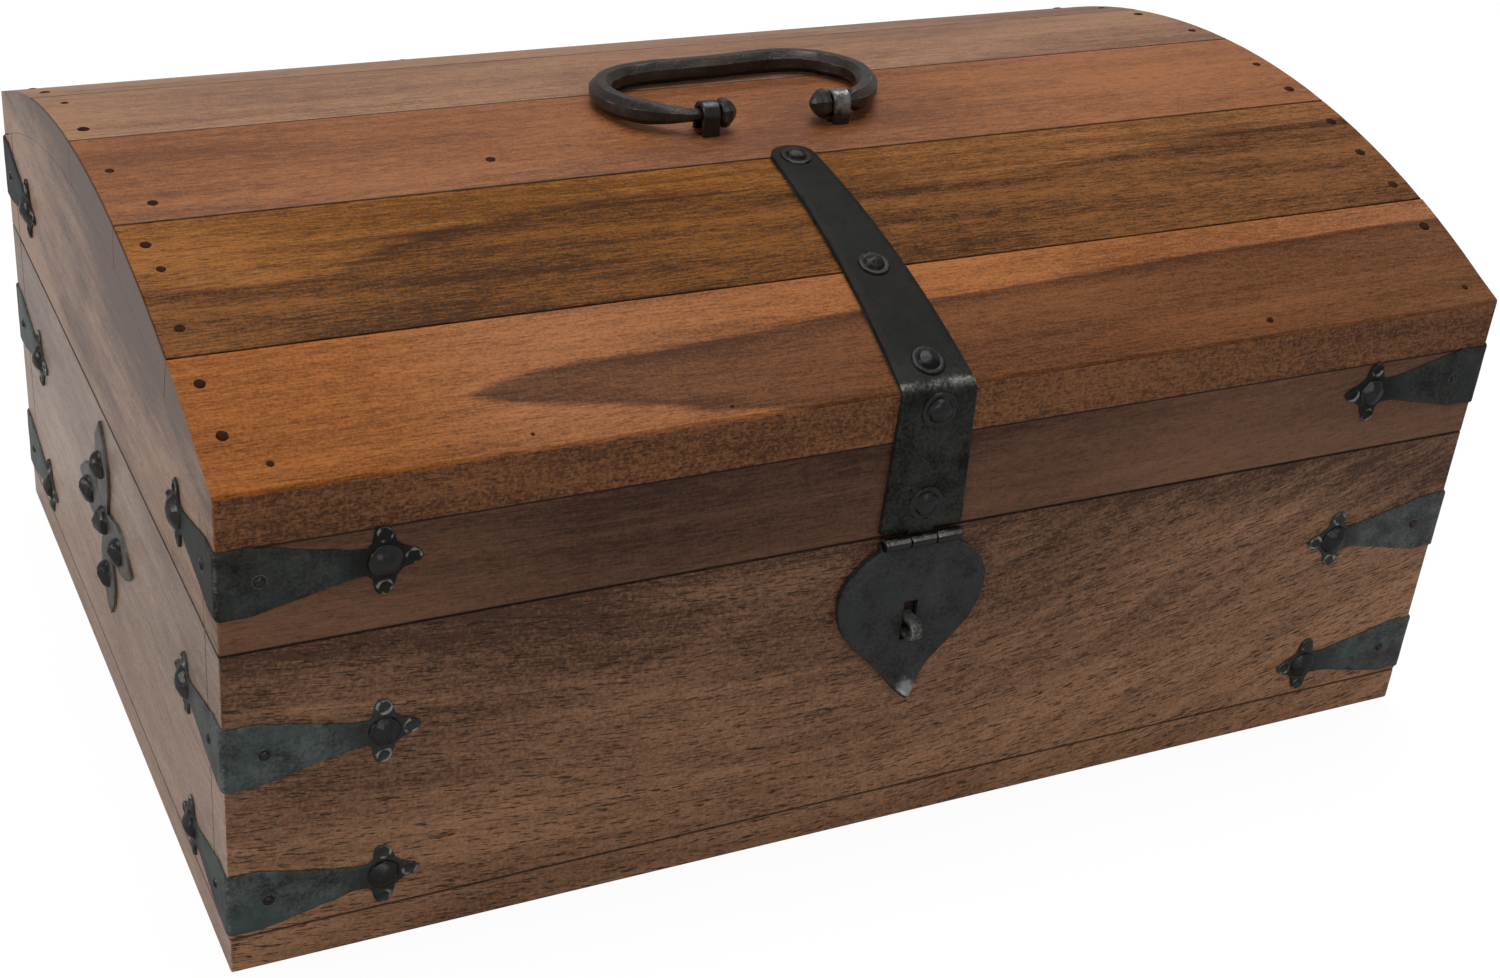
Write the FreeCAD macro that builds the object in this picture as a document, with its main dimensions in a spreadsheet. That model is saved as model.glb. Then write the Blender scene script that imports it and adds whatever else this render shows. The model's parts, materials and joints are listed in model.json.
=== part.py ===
import FreeCAD, Part
import math
import operator
import os
import types

import Sketcher

# A small domed coffer: a box of boards, a lid of planks on arched ends, wrought straps round the corners,
# a hasp over a staple in front and a forged handle on top. Millimetres.
# The origin is under the middle of the box, X to the right, Y to the back, Z up.

sizes = {
    # boards of the box and of the lid
    "box_width": 355,
    "box_depth": 236,
    "base_height": 93,
    "lid_side_height": 40.4,
    "arch_rise": 26.6,
    "board_thickness": 12,
    "bottom_thickness": 10.5,
    "corner_radius": 2,
    "joint_gap": 0.1,
    "seam_gap": 0.3,
    "overrun": 5,
    # planks over the arch
    "plank_thickness": 11.7,
    "front_plank_width": 38,
    "plank_gap": 0.3,
    "plank_edge_radius": 1.2,
    # straps round the corners, each ending in a cross
    "seat_gap": 0.05,
    "strap_thickness": 1.5,
    "strap_root_height": 18,
    "strap_neck_height": 7.4,
    "strap_front_reach": 38,
    "strap_end_reach": 33,
    "cross_span": 8.8,
    "cross_arm_width": 5.2,
    "cross_waist": 4.2,
    "cross_tip_reach": 8.5,
    "cross_tip_width": 4.4,
    "cross_tip_dip": 0.9,
    "lid_strap_rise": 18.5,
    "upper_strap_drop": 28.7,
    "lower_strap_rise": 21,
    # nails with domed heads
    "strap_nail_diameter": 10,
    "strap_nail_height": 1.8,
    "brad_diameter": 3.6,
    "brad_height": 0.8,
    "brad_inset": 9.5,
    # four-leaf plates on the two ends
    "leaf_reach": 30,
    "leaf_width": 18,
    "leaf_notch": 4,
    "plate_thickness": 1.5,
    "plate_seam_clearance": 3.5,
    "plate_nail_spacing": 17,
    "plate_nail_diameter": 11,
    "plate_nail_height": 2.1,
    # strap from the dome over the front edge to the hasp
    "hasp_strap_width": 21.8,
    "hasp_strap_tip_width": 12.4,
    "hasp_strap_thickness": 1.8,
    "hasp_strap_run": 90.5,
    "hasp_strap_tip_bulge": 5,
    "hasp_rivet_diameter": 9,
    "hasp_rivet_height": 2.4,
    # barrel hinge of the hasp
    "hasp_axis_drop": 0.8,
    "hasp_knuckle_radius": 2.3,
    "hasp_pin_radius": 1,
    "hasp_barrel_length": 22,
    "knuckle_gap": 0.3,
    "pin_clearance": 0.05,
    # hasp
    "hasp_thickness": 1.8,
    "hasp_stand_off": 0.5,
    "hasp_width": 43.2,
    "hasp_length": 46.4,
    "hasp_bend_radius": 10,
    "hasp_bend_angle": 65,
    "slot_side_room": 0.4,
    "slot_room_above": 4.2,
    "slot_room_below": 1.3,
    # staple
    "staple_width": 3.2,
    "staple_height": 6.2,
    "staple_thickness": 1.4,
    "staple_reach": 7,
    "staple_drop": 27.3,
    "staple_foot": 6,
    "staple_clearance": 0.1,
    # two hinges at the back
    "hinge_clearance": 17.1,
    "hinge_width": 26,
    "hinge_base_leaf": 26,
    "hinge_lid_leaf": 18,
    "hinge_thickness": 1.5,
    "hinge_knuckle_radius": 2.8,
    "hinge_pin_radius": 1.25,
    "hinge_nail_diameter": 4.6,
    "hinge_nail_height": 1.2,
    "hinge_nail_inset": 5.5,
    # handle and its eyes
    "handle_offset": 3,
    "handle_place": 13,
    "handle_eye_spacing": 39.2,
    "handle_bar_radius": 3.1,
    "handle_half_width": 37.9,
    "handle_shift": 3.1,
    "handle_reach": 38.7,
    "handle_lead": 0.4,
    "handle_taper": 3,
    "handle_neck_radius": 2,
    "handle_knob_radius": 4.1,
    "handle_knob_length": 5.8,
    "knob_clearance": 0.8,
    "handle_rest_gap": 0.3,
    "eye_width": 5,
    "eye_thickness": 1.4,
    "eye_clearance": 0.1,
    "eye_side_gap": 0.3,
    "eye_foot": 9,
}

diagonal_share = math.sqrt(0.5)
shoulder_share = 0.2
neck_share = 0.8
arm_waist_share = 0.38
arm_middle_share = 0.66
tip_waist_share = 0.4
# crown of a head: share of its radius cut from the top, share of its height cut from the side
dome_crown_shares = (0.5, 0.62)
flat_crown_shares = (0.3, 0.6)
# side of a leaf from the notch to the tip: share of its reach, share of its half width
leaf_shares = ((0.34, 0.8), (0.6, 1), (0.84, 0.58))
# rivets of the strap to the hasp: shares of its run over the planks, shares of the height of the lid's side
plank_rivet_shares = (0.928, 0.42, 0.0773)
side_rivet_shares = (0.8837, 0.2252)
# half outline of the hasp below its hinge: share of its half width, share of its length
hasp_crown_share = (0.845, 0.17)
hasp_widest_share = 0.35
hasp_flank_share = (0.91, 0.52)
hasp_hollow_start_share = (0.64, 0.675)
hasp_hollow_share = (0.4, 0.8)
hasp_tip_share = (0.17, 0.945)
hasp_bend_share = 0.81
# far bends of the handle, as a share of its reach
handle_far_share = 0.447
# ends of the handle, cut like the heads
knob_crown_shares = (0.5, 0.35)
taper_length_share = 0.9
bar_side_count = 8
bend_facet_count = 4
dome_side_count = 8
flat_side_count = 6


def number(value):
    return value.number if isinstance(value, Size) else value


def formula(value):
    return value.formula if isinstance(value, Size) else repr(value)


def combined(first, sign, second):
    work = {"+": operator.add, "-": operator.sub, "*": operator.mul, "/": operator.truediv}[sign]
    return Size(work(number(first), number(second)), f"({formula(first)} {sign} {formula(second)})")


class Size:
    # A length as a number and as the sheet formula that gives the same number.
    def __init__(self, number, formula):
        self.number = number
        self.formula = formula

    def __add__(self, other):
        return combined(self, "+", other)

    def __radd__(self, other):
        return combined(other, "+", self)

    def __sub__(self, other):
        return combined(self, "-", other)

    def __rsub__(self, other):
        return combined(other, "-", self)

    def __mul__(self, other):
        return combined(self, "*", other)

    def __rmul__(self, other):
        return combined(other, "*", self)

    def __truediv__(self, other):
        return combined(self, "/", other)

    def __neg__(self):
        return combined(0, "-", self)


def root(value):
    return Size(math.sqrt(value.number), f"sqrt({value.formula})")


def sine(angle):
    return Size(math.sin(math.radians(angle.number)), f"sin({angle.formula} * 1 deg)")


def cosine(angle):
    return Size(math.cos(math.radians(angle.number)), f"cos({angle.formula} * 1 deg)")


def arc_sine(value):
    return Size(math.degrees(math.asin(value.number)), f"asin({value.formula})")


doc = FreeCAD.newDocument("coffer_chest")
sheet = doc.addObject("Spreadsheet::Sheet", "Sizes")
for row, (name, value) in enumerate(sizes.items(), start=1):
    sheet.set(f"A{row}", name)
    sheet.set(f"B{row}", str(value))
    sheet.setAlias(f"B{row}", name)
doc.recompute()
size = types.SimpleNamespace(**{name: Size(value, f"Sizes.{name}") for name, value in sizes.items()})
nodes = []


# Small helpers: bound sizes, primitives, booleans and sketched outlines

def bind(thing, place, value):
    thing.setExpression(place, formula(value))


def move(thing, x, y, z):
    bind(thing, "Placement.Base.x", x)
    bind(thing, "Placement.Base.y", y)
    bind(thing, "Placement.Base.z", z)


def node(thing, label):
    thing.Label = label
    nodes.append(thing)
    return thing


def block(name, x, y, z):
    box = doc.addObject("Part::Box", name)
    for side, (low, high) in zip(("Length", "Width", "Height"), (x, y, z)):
        bind(box, side, high - low)
    move(box, x[0], y[0], z[0])
    return box


def rod(name, radius, x, y, z):
    # a cylinder along X from x[0] to x[1]
    cylinder = doc.addObject("Part::Cylinder", name)
    cylinder.Placement = FreeCAD.Placement(FreeCAD.Vector(), FreeCAD.Rotation(FreeCAD.Vector(0, 1, 0), 90))
    bind(cylinder, "Radius", radius)
    bind(cylinder, "Height", x[1] - x[0])
    move(cylinder, x[0], y, z)
    return cylinder


def boolean(kind, name, base, tool):
    result = doc.addObject(f"Part::{kind}", name)
    result.Base = base
    result.Tool = tool
    return result


def fuse(name, pieces):
    result = doc.addObject("Part::MultiFuse", name)
    result.Shapes = pieces
    return result


def group(name, pieces):
    result = doc.addObject("Part::Compound", name)
    result.Links = pieces
    return result


facing_turns = {
    "front": FreeCAD.Rotation(FreeCAD.Vector(1, 0, 0), 90),
    "back": FreeCAD.Rotation(FreeCAD.Vector(1, 0, 0), -90),
    "left": FreeCAD.Rotation(FreeCAD.Vector(0, 1, 0), -90),
    "right": FreeCAD.Rotation(FreeCAD.Vector(0, 1, 0), 90),
    "top": FreeCAD.Rotation(FreeCAD.Vector(1, 0, 0), 1),
}


def nail(head, facing, x, y, z):
    # a head turned so that its flat side lies on a wall at (x, y, z)
    copy = doc.addObject("App::Link", "Nail")
    copy.LinkedObject = head
    copy.Placement = FreeCAD.Placement(FreeCAD.Vector(), facing_turns[facing])
    move(copy, x, y, z)
    return copy


def flip_first(point):
    return (-point[0], point[1])


def flip_second(point):
    return (point[0], -point[1])


def reflected(start, steps, flip):
    # the same run, mirrored and walked backwards
    corners = [start] + [step[-1] for step in steps]
    back = []
    for step, corner in zip(reversed(steps), reversed(corners[:-1])):
        back.append([flip(point) for point in step[:-1]] + [flip(corner)])
    return back


def spot(point):
    return FreeCAD.Vector(number(point[0]), number(point[1]), 0)


def is_left_turn(first, middle, last):
    return (middle - first).cross(last - middle).z > 0


def outline(sketch, start, steps):
    # A run from start through steps, each [end] for a line or [middle, end] for an arc.
    # Every corner and every arc's middle is dimensioned from the sketch's origin.
    rules = []
    bound = {}

    def dimension(edge, vertex, point):
        for kind, value in zip(("DistanceX", "DistanceY"), point):
            bound[len(rules)] = formula(value)
            rules.append(Sketcher.Constraint(kind, -1, 1, edge, vertex, float(number(value))))

    corner = start
    ends = []
    for step in steps:
        first, last = spot(corner), spot(step[-1])
        if len(step) == 1:
            edge = sketch.addGeometry(Part.LineSegment(first, last))
            ends.append((edge, 1, 2))
        else:
            middle = spot(step[0])
            left = is_left_turn(first, middle, last)
            arc = Part.Arc(first, middle, last) if left else Part.Arc(last, middle, first)
            edge = sketch.addGeometry(arc)
            ends.append((edge, 1, 2) if left else (edge, 2, 1))
            point = sketch.addGeometry(Part.Point(middle), True)
            dimension(point, 1, step[0])
            rules.append(Sketcher.Constraint("PointOnObject", point, 1, edge))
        dimension(edge, ends[-1][2], step[-1])
        corner = step[-1]
    closed = corner == start
    if not closed:
        dimension(ends[0][0], ends[0][1], start)
    followers = ends[1:] + ends[:1] if closed else ends[1:]
    for (edge, _, last), (follower, first, _) in zip(ends, followers):
        rules.append(Sketcher.Constraint("Coincident", edge, last, follower, first))
    sketch.addConstraint(rules)
    for index, text in bound.items():
        sketch.setExpression(f"Constraints[{index}]", text)


def sketch_on(body, name, plane, offset=0):
    sketch = body.newObject("Sketcher::SketchObject", name)
    support = next(item for item in body.Origin.OriginFeatures if item.Role == plane)
    sketch.AttachmentSupport = [(support, "")]
    sketch.MapMode = "FlatFace"
    bind(sketch, "AttachmentOffset.Base.z", offset)
    return sketch


def pad(body, plane, run, length, offset=0, reverse=False, middle=False):
    start, steps = run
    sketch = sketch_on(body, "Outline", plane, offset)
    outline(sketch, start, steps)
    feature = body.newObject("PartDesign::Pad", "Plate")
    feature.Profile = sketch
    feature.Reversed = reverse
    feature.SideType = "Symmetric" if middle else "One side"
    bind(feature, "Length", length)
    return feature


def padded(name, plane, run, length, offset=0, reverse=False, middle=False):
    body = doc.addObject("PartDesign::Body", name)
    pad(body, plane, run, length, offset, reverse, middle)
    return body


# Heads of nails and rivets: flat sides under a crown, flat side down

def polygon_run(side_count, radius):
    turns = [2 * math.pi * index / side_count for index in range(side_count)]
    points = [(radius * math.cos(turn), radius * math.sin(turn)) for turn in turns]
    return points[0], [[point] for point in points[1:] + points[:1]]


def head(name, side_count, diameter, height, crown_shares):
    body = doc.addObject("PartDesign::Body", name)
    stem = pad(body, "XY_Plane", polygon_run(side_count, diameter / 2), height)
    doc.recompute()
    faces = stem.Shape.Faces
    top = max(range(len(faces)), key=lambda index: faces[index].CenterOfMass.z)
    crown = body.newObject("PartDesign::Chamfer", "Crown")
    crown.Base = (stem, [f"Face{top + 1}"])
    crown.ChamferType = "Two distances"
    bind(crown, "Size", height * crown_shares[1])
    bind(crown, "Size2", diameter / 2 * crown_shares[0])
    return body


def flat_head(diameter, height):
    return head("FlatHead", flat_side_count, diameter, height, flat_crown_shares)


def domed_head(diameter, height):
    return head("DomedHead", dome_side_count, diameter, height, dome_crown_shares)


# Main places

half_width = size.box_width / 2
half_depth = size.box_depth / 2
total_height = size.base_height + size.lid_side_height + size.arch_rise
arch_radius = (half_depth * half_depth + size.arch_rise * size.arch_rise) / (2 * size.arch_rise)
arch_centre = total_height - arch_radius
inner_radius = arch_radius - size.plank_thickness
lid_bottom = size.base_height + size.seam_gap
floor_top = size.bottom_thickness + size.joint_gap
wide = (-half_width, half_width)
front_board = (-half_depth, size.board_thickness - half_depth)
back_board = (half_depth - size.board_thickness, half_depth)
left_board = (-half_width, size.board_thickness - half_width)
right_board = (half_width - size.board_thickness, half_width)
end_inset = size.board_thickness + size.joint_gap
between = (end_inset - half_depth, half_depth - end_inset)


def arch_height(radius, y):
    return arch_centre + root(radius * radius - y * y)


# Boards of the base and of the lid

def footprint_run():
    radius = size.corner_radius
    bulge = radius * (1 - diagonal_share)
    start = (radius - half_width, -half_depth)
    steps = []
    for right, back in ((1, -1), (1, 1), (-1, 1), (-1, -1)):
        along_x = (right * (half_width - radius), back * half_depth)
        along_y = (right * half_width, back * (half_depth - radius))
        middle = (right * (half_width - bulge), back * (half_depth - bulge))
        arrive, leave = (along_x, along_y) if right * back < 0 else (along_y, along_x)
        steps += [[arrive], [middle, leave]]
    steps[-1][-1] = start
    return start, steps


def boards():
    footprint = padded("Footprint", "XY_Plane", footprint_run(), total_height)
    past_ends = (-half_width - size.overrun, half_width + size.overrun)
    vault = rod("Vault", inner_radius - size.joint_gap, past_ends, 0, arch_centre)
    node(padded("BottomBoard", "XY_Plane", footprint_run(), size.bottom_thickness), "bottom_board")

    base_rise = (floor_top, size.base_height)
    front = boolean("Common", "BaseFront", block("FrontBlank", wide, front_board, base_rise), footprint)
    node(boolean("Cut", "BaseFrontBoard", front, staple_slots()), "base_front_board")
    back = block("BackBlank", wide, back_board, base_rise)
    node(boolean("Common", "BaseBackBoard", back, footprint), "base_back_board")
    node(block("BaseLeftEnd", left_board, between, base_rise), "base_left_end_board")
    node(block("BaseRightEnd", right_board, between, base_rise), "base_right_end_board")

    lid_rise = (lid_bottom, total_height)
    for side, place in (("front", front_board), ("back", back_board)):
        blank = boolean("Common", "LidBoard", block("LidBlank", wide, place, lid_rise), footprint)
        node(boolean("Common", "LidSide", blank, vault), f"lid_{side}_board")
    for side, place in (("left", left_board), ("right", right_board)):
        blank = block("EndBlank", place, between, lid_rise)
        node(boolean("Common", "LidEnd", blank, vault), f"lid_{side}_end")
    planks(footprint)


# Planks over the arch, the first and last with a rounded outer edge

edge_inset = half_depth - size.plank_edge_radius
edge_span = arch_radius - size.plank_edge_radius
edge_rise = root(edge_span * edge_span - edge_inset * edge_inset)
edge_height = arch_centre + edge_rise
edge_out = (edge_inset / edge_span, edge_rise / edge_span)


def edge_bend(radius):
    # the rounded edge at the front, from the wall up to the arch, at a given radius
    lean = root((1 + edge_out[0]) * (1 + edge_out[0]) + edge_out[1] * edge_out[1])
    wall = (-edge_inset - radius, edge_height)
    middle = (-edge_inset - radius * (1 + edge_out[0]) / lean, edge_height + radius * edge_out[1] / lean)
    crest = (-edge_inset - radius * edge_out[0], edge_height + radius * edge_out[1])
    return wall, middle, crest


def on_arch(y, radius):
    # the point of another radius that lies on the ray through (y, arch)
    share = radius / arch_radius
    return (y * share, arch_centre + share * root(arch_radius * arch_radius - y * y))


def plank_run(low, high):
    middle = (low + high) / 2
    start = on_arch(low, inner_radius)
    return start, [
        [on_arch(middle, inner_radius), on_arch(high, inner_radius)],
        [on_arch(high, arch_radius)],
        [on_arch(middle, arch_radius), on_arch(low, arch_radius)],
        [start],
    ]


def edge_plank_run(high):
    wall, bend, crest = edge_bend(size.plank_edge_radius)
    middle = (high - half_depth) / 2
    start = (-half_depth, arch_height(inner_radius, half_depth))
    return start, [
        [on_arch(middle, inner_radius), on_arch(high, inner_radius)],
        [on_arch(high, arch_radius)],
        [on_arch(middle, arch_radius), crest],
        [bend, wall],
        [start],
    ]


def planks(footprint):
    plain_count = 4
    plain_width = (size.box_depth - size.front_plank_width) / plain_count
    half_gap = size.plank_gap / 2
    first_seam = size.front_plank_width - half_depth
    seams = [first_seam + plain_width * index for index in range(plain_count)]

    run = edge_plank_run(seams[0] - half_gap)
    blank = padded("FrontPlank", "YZ_Plane", run, size.box_width, middle=True)
    node(boolean("Common", "PlankOne", blank, footprint), "lid_plank_1")
    for index in range(plain_count - 1):
        run = plank_run(seams[index] + half_gap, seams[index + 1] - half_gap)
        plank = padded("Plank", "YZ_Plane", run, size.box_width, middle=True)
        if index == 1:
            plank = boolean("Cut", "DrilledPlank", plank, eye_slots())
        node(plank, f"lid_plank_{index + 2}")
    start, steps = edge_plank_run(-seams[-1] - half_gap)
    run = (flip_first(start), [[flip_first(point) for point in step] for step in steps])
    run[1][-1][-1] = run[0]
    blank = padded("BackPlank", "YZ_Plane", run, size.box_width, middle=True)
    node(boolean("Common", "PlankFive", blank, footprint), f"lid_plank_{plain_count + 1}")


# Corner straps: two tapered legs joined by a bend round the corner, each leg ending in a cross

def strap_leg_run(reach):
    root_half = size.strap_root_height / 2
    neck_half = size.strap_neck_height / 2
    arm_half = size.cross_arm_width / 2
    shoulder = reach * shoulder_share
    neck = reach * neck_share
    arm_waist = size.cross_arm_width * arm_waist_share
    arm_middle = size.cross_span * arm_middle_share
    tip = reach + size.cross_tip_reach
    tip_half = size.cross_tip_width / 2
    start = (size.corner_radius, root_half)
    steps = [
        [(shoulder, root_half)],
        [(neck, neck_half)],
        [(reach - size.cross_waist, neck_half)],
        [(reach - arm_waist, arm_middle)],
        [(reach - arm_half, size.cross_span)],
        [(reach, size.cross_span - size.cross_tip_dip)],
        [(reach + arm_half, size.cross_span)],
        [(reach + arm_waist, arm_middle)],
        [(reach + size.cross_waist, neck_half)],
        [((reach + size.cross_waist + tip) / 2, size.cross_tip_width * tip_waist_share)],
        [(tip, tip_half)],
        [(tip - size.cross_tip_dip, 0)],
    ]
    return start, steps + reflected(start, steps, flip_second) + [[start]]


def strap_bend_run():
    inner = -size.seat_gap
    outer = -size.seat_gap - size.strap_thickness
    flat = size.corner_radius
    outer_middle = flat - (flat - outer) * diagonal_share
    inner_middle = flat - (flat - inner) * diagonal_share
    start = (flat, outer)
    return start, [
        [(flat, inner)],
        [(inner_middle, inner_middle), (inner, flat)],
        [(outer, flat)],
        [(outer_middle, outer_middle), start],
    ]


corners = {
    "front_left": (-1, -1),
    "front_right": (1, -1),
    "back_right": (1, 1),
    "back_left": (-1, 1),
}
corner_angles = dict(zip(corners, range(0, 360, 90)))
strap_rows = {
    "lid": lid_bottom + size.lid_strap_rise,
    "base_upper": size.base_height - size.upper_strap_drop,
    "base_lower": size.lower_strap_rise,
}


def corner_strap(row, corner):
    right, back = corners[corner]
    turn = FreeCAD.Rotation(FreeCAD.Vector(0, 0, 1), corner_angles[corner])
    x_reach, y_reach = size.strap_front_reach, size.strap_end_reach
    if right * back < 0:
        x_reach, y_reach = y_reach, x_reach
    strap = doc.addObject("PartDesign::Body", "Strap")
    pad(strap, "XY_Plane", strap_bend_run(), size.strap_root_height, middle=True)
    pad(strap, "XZ_Plane", strap_leg_run(x_reach), size.strap_thickness, size.seat_gap)
    pad(strap, "YZ_Plane", strap_leg_run(y_reach), size.strap_thickness, -size.seat_gap, reverse=True)
    strap.Placement = FreeCAD.Placement(FreeCAD.Vector(), turn)
    move(strap, right * half_width, back * half_depth, strap_rows[row])
    node(strap, f"{row}_strap_{corner}")


def strap_heads(rows, head, front_place, end_place):
    # one copy of a head on each leg of every strap in the rows, measured along the leg from the corner
    out_x = half_width + size.seat_gap + size.strap_thickness
    out_y = half_depth + size.seat_gap + size.strap_thickness
    heads = []
    for row in rows:
        for right in (-1, 1):
            for back in (-1, 1):
                wall = "front" if back < 0 else "back"
                end = "left" if right < 0 else "right"
                x = right * (half_width - front_place)
                y = back * (half_depth - end_place)
                heads.append(nail(head, wall, x, back * out_y, strap_rows[row]))
                heads.append(nail(head, end, right * out_x, y, strap_rows[row]))
    return heads


def straps():
    for row in strap_rows:
        for corner in corners:
            corner_strap(row, corner)
    nail_head = domed_head(size.strap_nail_diameter, size.strap_nail_height)
    brad_head = flat_head(size.brad_diameter, size.brad_height)
    for body, rows in (("lid", ["lid"]), ("base", ["base_upper", "base_lower"])):
        nails = strap_heads(rows, nail_head, size.strap_front_reach, size.strap_end_reach)
        node(group("StrapNails", nails), f"{body}_strap_nails")
        brads = strap_heads(rows, brad_head, size.brad_inset, size.brad_inset)
        node(group("StrapBrads", brads), f"{body}_strap_brads")


# Four-leaf plates on the ends of the base

quarter_turns = ((1, 0), (0, 1), (-1, 0), (0, -1))


def turned(point, quarter):
    cos, sin = quarter
    return (point[0] * cos - point[1] * sin, point[0] * sin + point[1] * cos)


def leaf_plate_run():
    half = size.leaf_width / 2
    side = [(size.leaf_reach * along, half * out) for along, out in leaf_shares]
    leaf = [flip_second(point) for point in side] + [(size.leaf_reach, 0)] + side[::-1]
    leaf.append((size.leaf_notch, size.leaf_notch))
    start = (size.leaf_notch, -size.leaf_notch)
    steps = [[turned(point, quarter)] for quarter in quarter_turns for point in leaf]
    steps[-1] = [start]
    return start, steps


def cross_plates():
    heads = []
    head = domed_head(size.plate_nail_diameter, size.plate_nail_height)
    middle = size.base_height - size.plate_seam_clearance - size.leaf_reach
    for side, right in (("left", -1), ("right", 1)):
        seat = right * size.seat_gap
        plate = padded("CrossPlate", "YZ_Plane", leaf_plate_run(), size.plate_thickness, seat, right < 0)
        move(plate, right * half_width, 0, middle)
        node(plate, f"{side}_cross_plate")
        wall = right * (half_width + size.seat_gap + size.plate_thickness)
        for along, up in ((0, 0),) + quarter_turns:
            y = along * size.plate_nail_spacing
            z = middle + up * size.plate_nail_spacing
            heads.append(nail(head, side, wall, y, z))
    node(group("PlateNails", heads), "cross_plate_nails")


# Barrel hinges: knuckles on a pin, each knuckle carried by a tab of its leaf

def knuckle_spans(centre, length):
    knuckle = (length - 2 * size.knuckle_gap) / 3
    half = length / 2
    return [
        (centre - half, centre - half + knuckle),
        (centre - knuckle / 2, centre + knuckle / 2),
        (centre + half - knuckle, centre + half),
    ]


def knuckled(name, plate, spans, tab_y, tab_z, barrel):
    # a plate with a tab and a knuckle on each span, bored for the pin
    pieces = [plate]
    for span in spans:
        pieces.append(block("Tab", span, tab_y, tab_z))
        pieces.append(rod("Knuckle", barrel["radius"], span, barrel["y"], barrel["z"]))
    reach = (barrel["x"][0] - size.overrun, barrel["x"][1] + size.overrun)
    bore = rod("Bore", barrel["pin"] + size.pin_clearance, reach, barrel["y"], barrel["z"])
    return boolean("Cut", name, fuse("Leaf", pieces), bore)


def hinge_pin(barrel):
    return rod("Pin", barrel["pin"], barrel["x"], barrel["y"], barrel["z"])


def rear_hinges():
    near = half_depth + size.seat_gap
    far = near + size.hinge_thickness
    clear = size.hinge_knuckle_radius + size.knuckle_gap
    axis_z = size.base_height + size.seam_gap / 2
    strap_end = half_width - size.strap_front_reach - size.cross_tip_reach
    place = strap_end - size.hinge_clearance - size.hinge_width / 2
    head = flat_head(size.hinge_nail_diameter, size.hinge_nail_height)
    heads = {"base": [], "lid": []}
    for side, right in (("left", -1), ("right", 1)):
        centre = right * place
        span = (centre - size.hinge_width / 2, centre + size.hinge_width / 2)
        outer_left, inner, outer_right = knuckle_spans(centre, size.hinge_width)
        barrel = {
            "radius": size.hinge_knuckle_radius,
            "pin": size.hinge_pin_radius,
            "x": span,
            "y": half_depth + size.knuckle_gap + size.hinge_knuckle_radius,
            "z": axis_z,
        }
        low = axis_z - clear
        plate = block("BaseLeaf", span, (near, far), (low - size.hinge_base_leaf, low))
        base = knuckled("BaseHinge", plate, (outer_left, outer_right), (near, far), (low, axis_z), barrel)
        node(base, f"{side}_hinge_base_leaf")
        high = axis_z + clear
        plate = block("LidLeaf", span, (near, far), (high, high + size.hinge_lid_leaf))
        lid = knuckled("LidHinge", plate, (inner,), (near, far), (axis_z, high), barrel)
        node(lid, f"{side}_hinge_lid_leaf")
        node(hinge_pin(barrel), f"{side}_hinge_pin")
        for across in (-1, 1):
            x = centre + across * (size.hinge_width / 2 - size.hinge_nail_inset)
            for body, z in (("base", low - size.hinge_base_leaf + size.hinge_nail_inset),
                            ("lid", high + size.hinge_lid_leaf - size.hinge_nail_inset)):
                heads[body].append(nail(head, "back", x, far, z))
    for body, nails in heads.items():
        node(group("HingeNails", nails), f"{body}_hinge_nails")


# Strap over the lid, hasp and staple

hasp_axis_y = -half_depth - size.knuckle_gap - size.hasp_knuckle_radius
hasp_axis_z = size.base_height - size.hasp_axis_drop
staple_z = size.base_height - size.staple_drop
hasp_clear = size.hasp_knuckle_radius + size.knuckle_gap
strap_inner = size.seat_gap
strap_outer = size.seat_gap + size.hasp_strap_thickness
hasp_barrel = {
    "radius": size.hasp_knuckle_radius,
    "pin": size.hasp_pin_radius,
    "x": (-size.hasp_barrel_length / 2, size.hasp_barrel_length / 2),
    "y": hasp_axis_y,
    "z": hasp_axis_z,
}


def hasp_strap_profile(tip):
    inner_wall, inner_bend, inner_crest = edge_bend(size.plank_edge_radius + strap_inner)
    outer_wall, outer_bend, outer_crest = edge_bend(size.plank_edge_radius + strap_outer)
    inner_arch = arch_radius + strap_inner
    outer_arch = arch_radius + strap_outer
    middle = (tip - half_depth) / 2
    bottom = hasp_axis_z + hasp_clear
    start = on_arch(tip, inner_arch)
    return start, [
        [on_arch(middle, inner_arch), inner_crest],
        [inner_bend, inner_wall],
        [(inner_wall[0], bottom)],
        [(outer_wall[0], bottom)],
        [outer_wall],
        [outer_bend, outer_crest],
        [on_arch(middle, outer_arch), on_arch(tip, outer_arch)],
        [start],
    ]


def hasp_strap_plan(tip):
    half = size.hasp_strap_width / 2
    tip_half = size.hasp_strap_tip_width / 2
    start = (half, -half_depth - strap_outer - size.overrun)
    steps = [[(half, -half_depth)], [(tip_half, tip - size.hasp_strap_tip_bulge)]]
    round_tip = [(0, tip), flip_first(steps[-1][-1])]
    return start, steps + [round_tip] + reflected(start, steps, flip_first) + [[start]]


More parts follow.
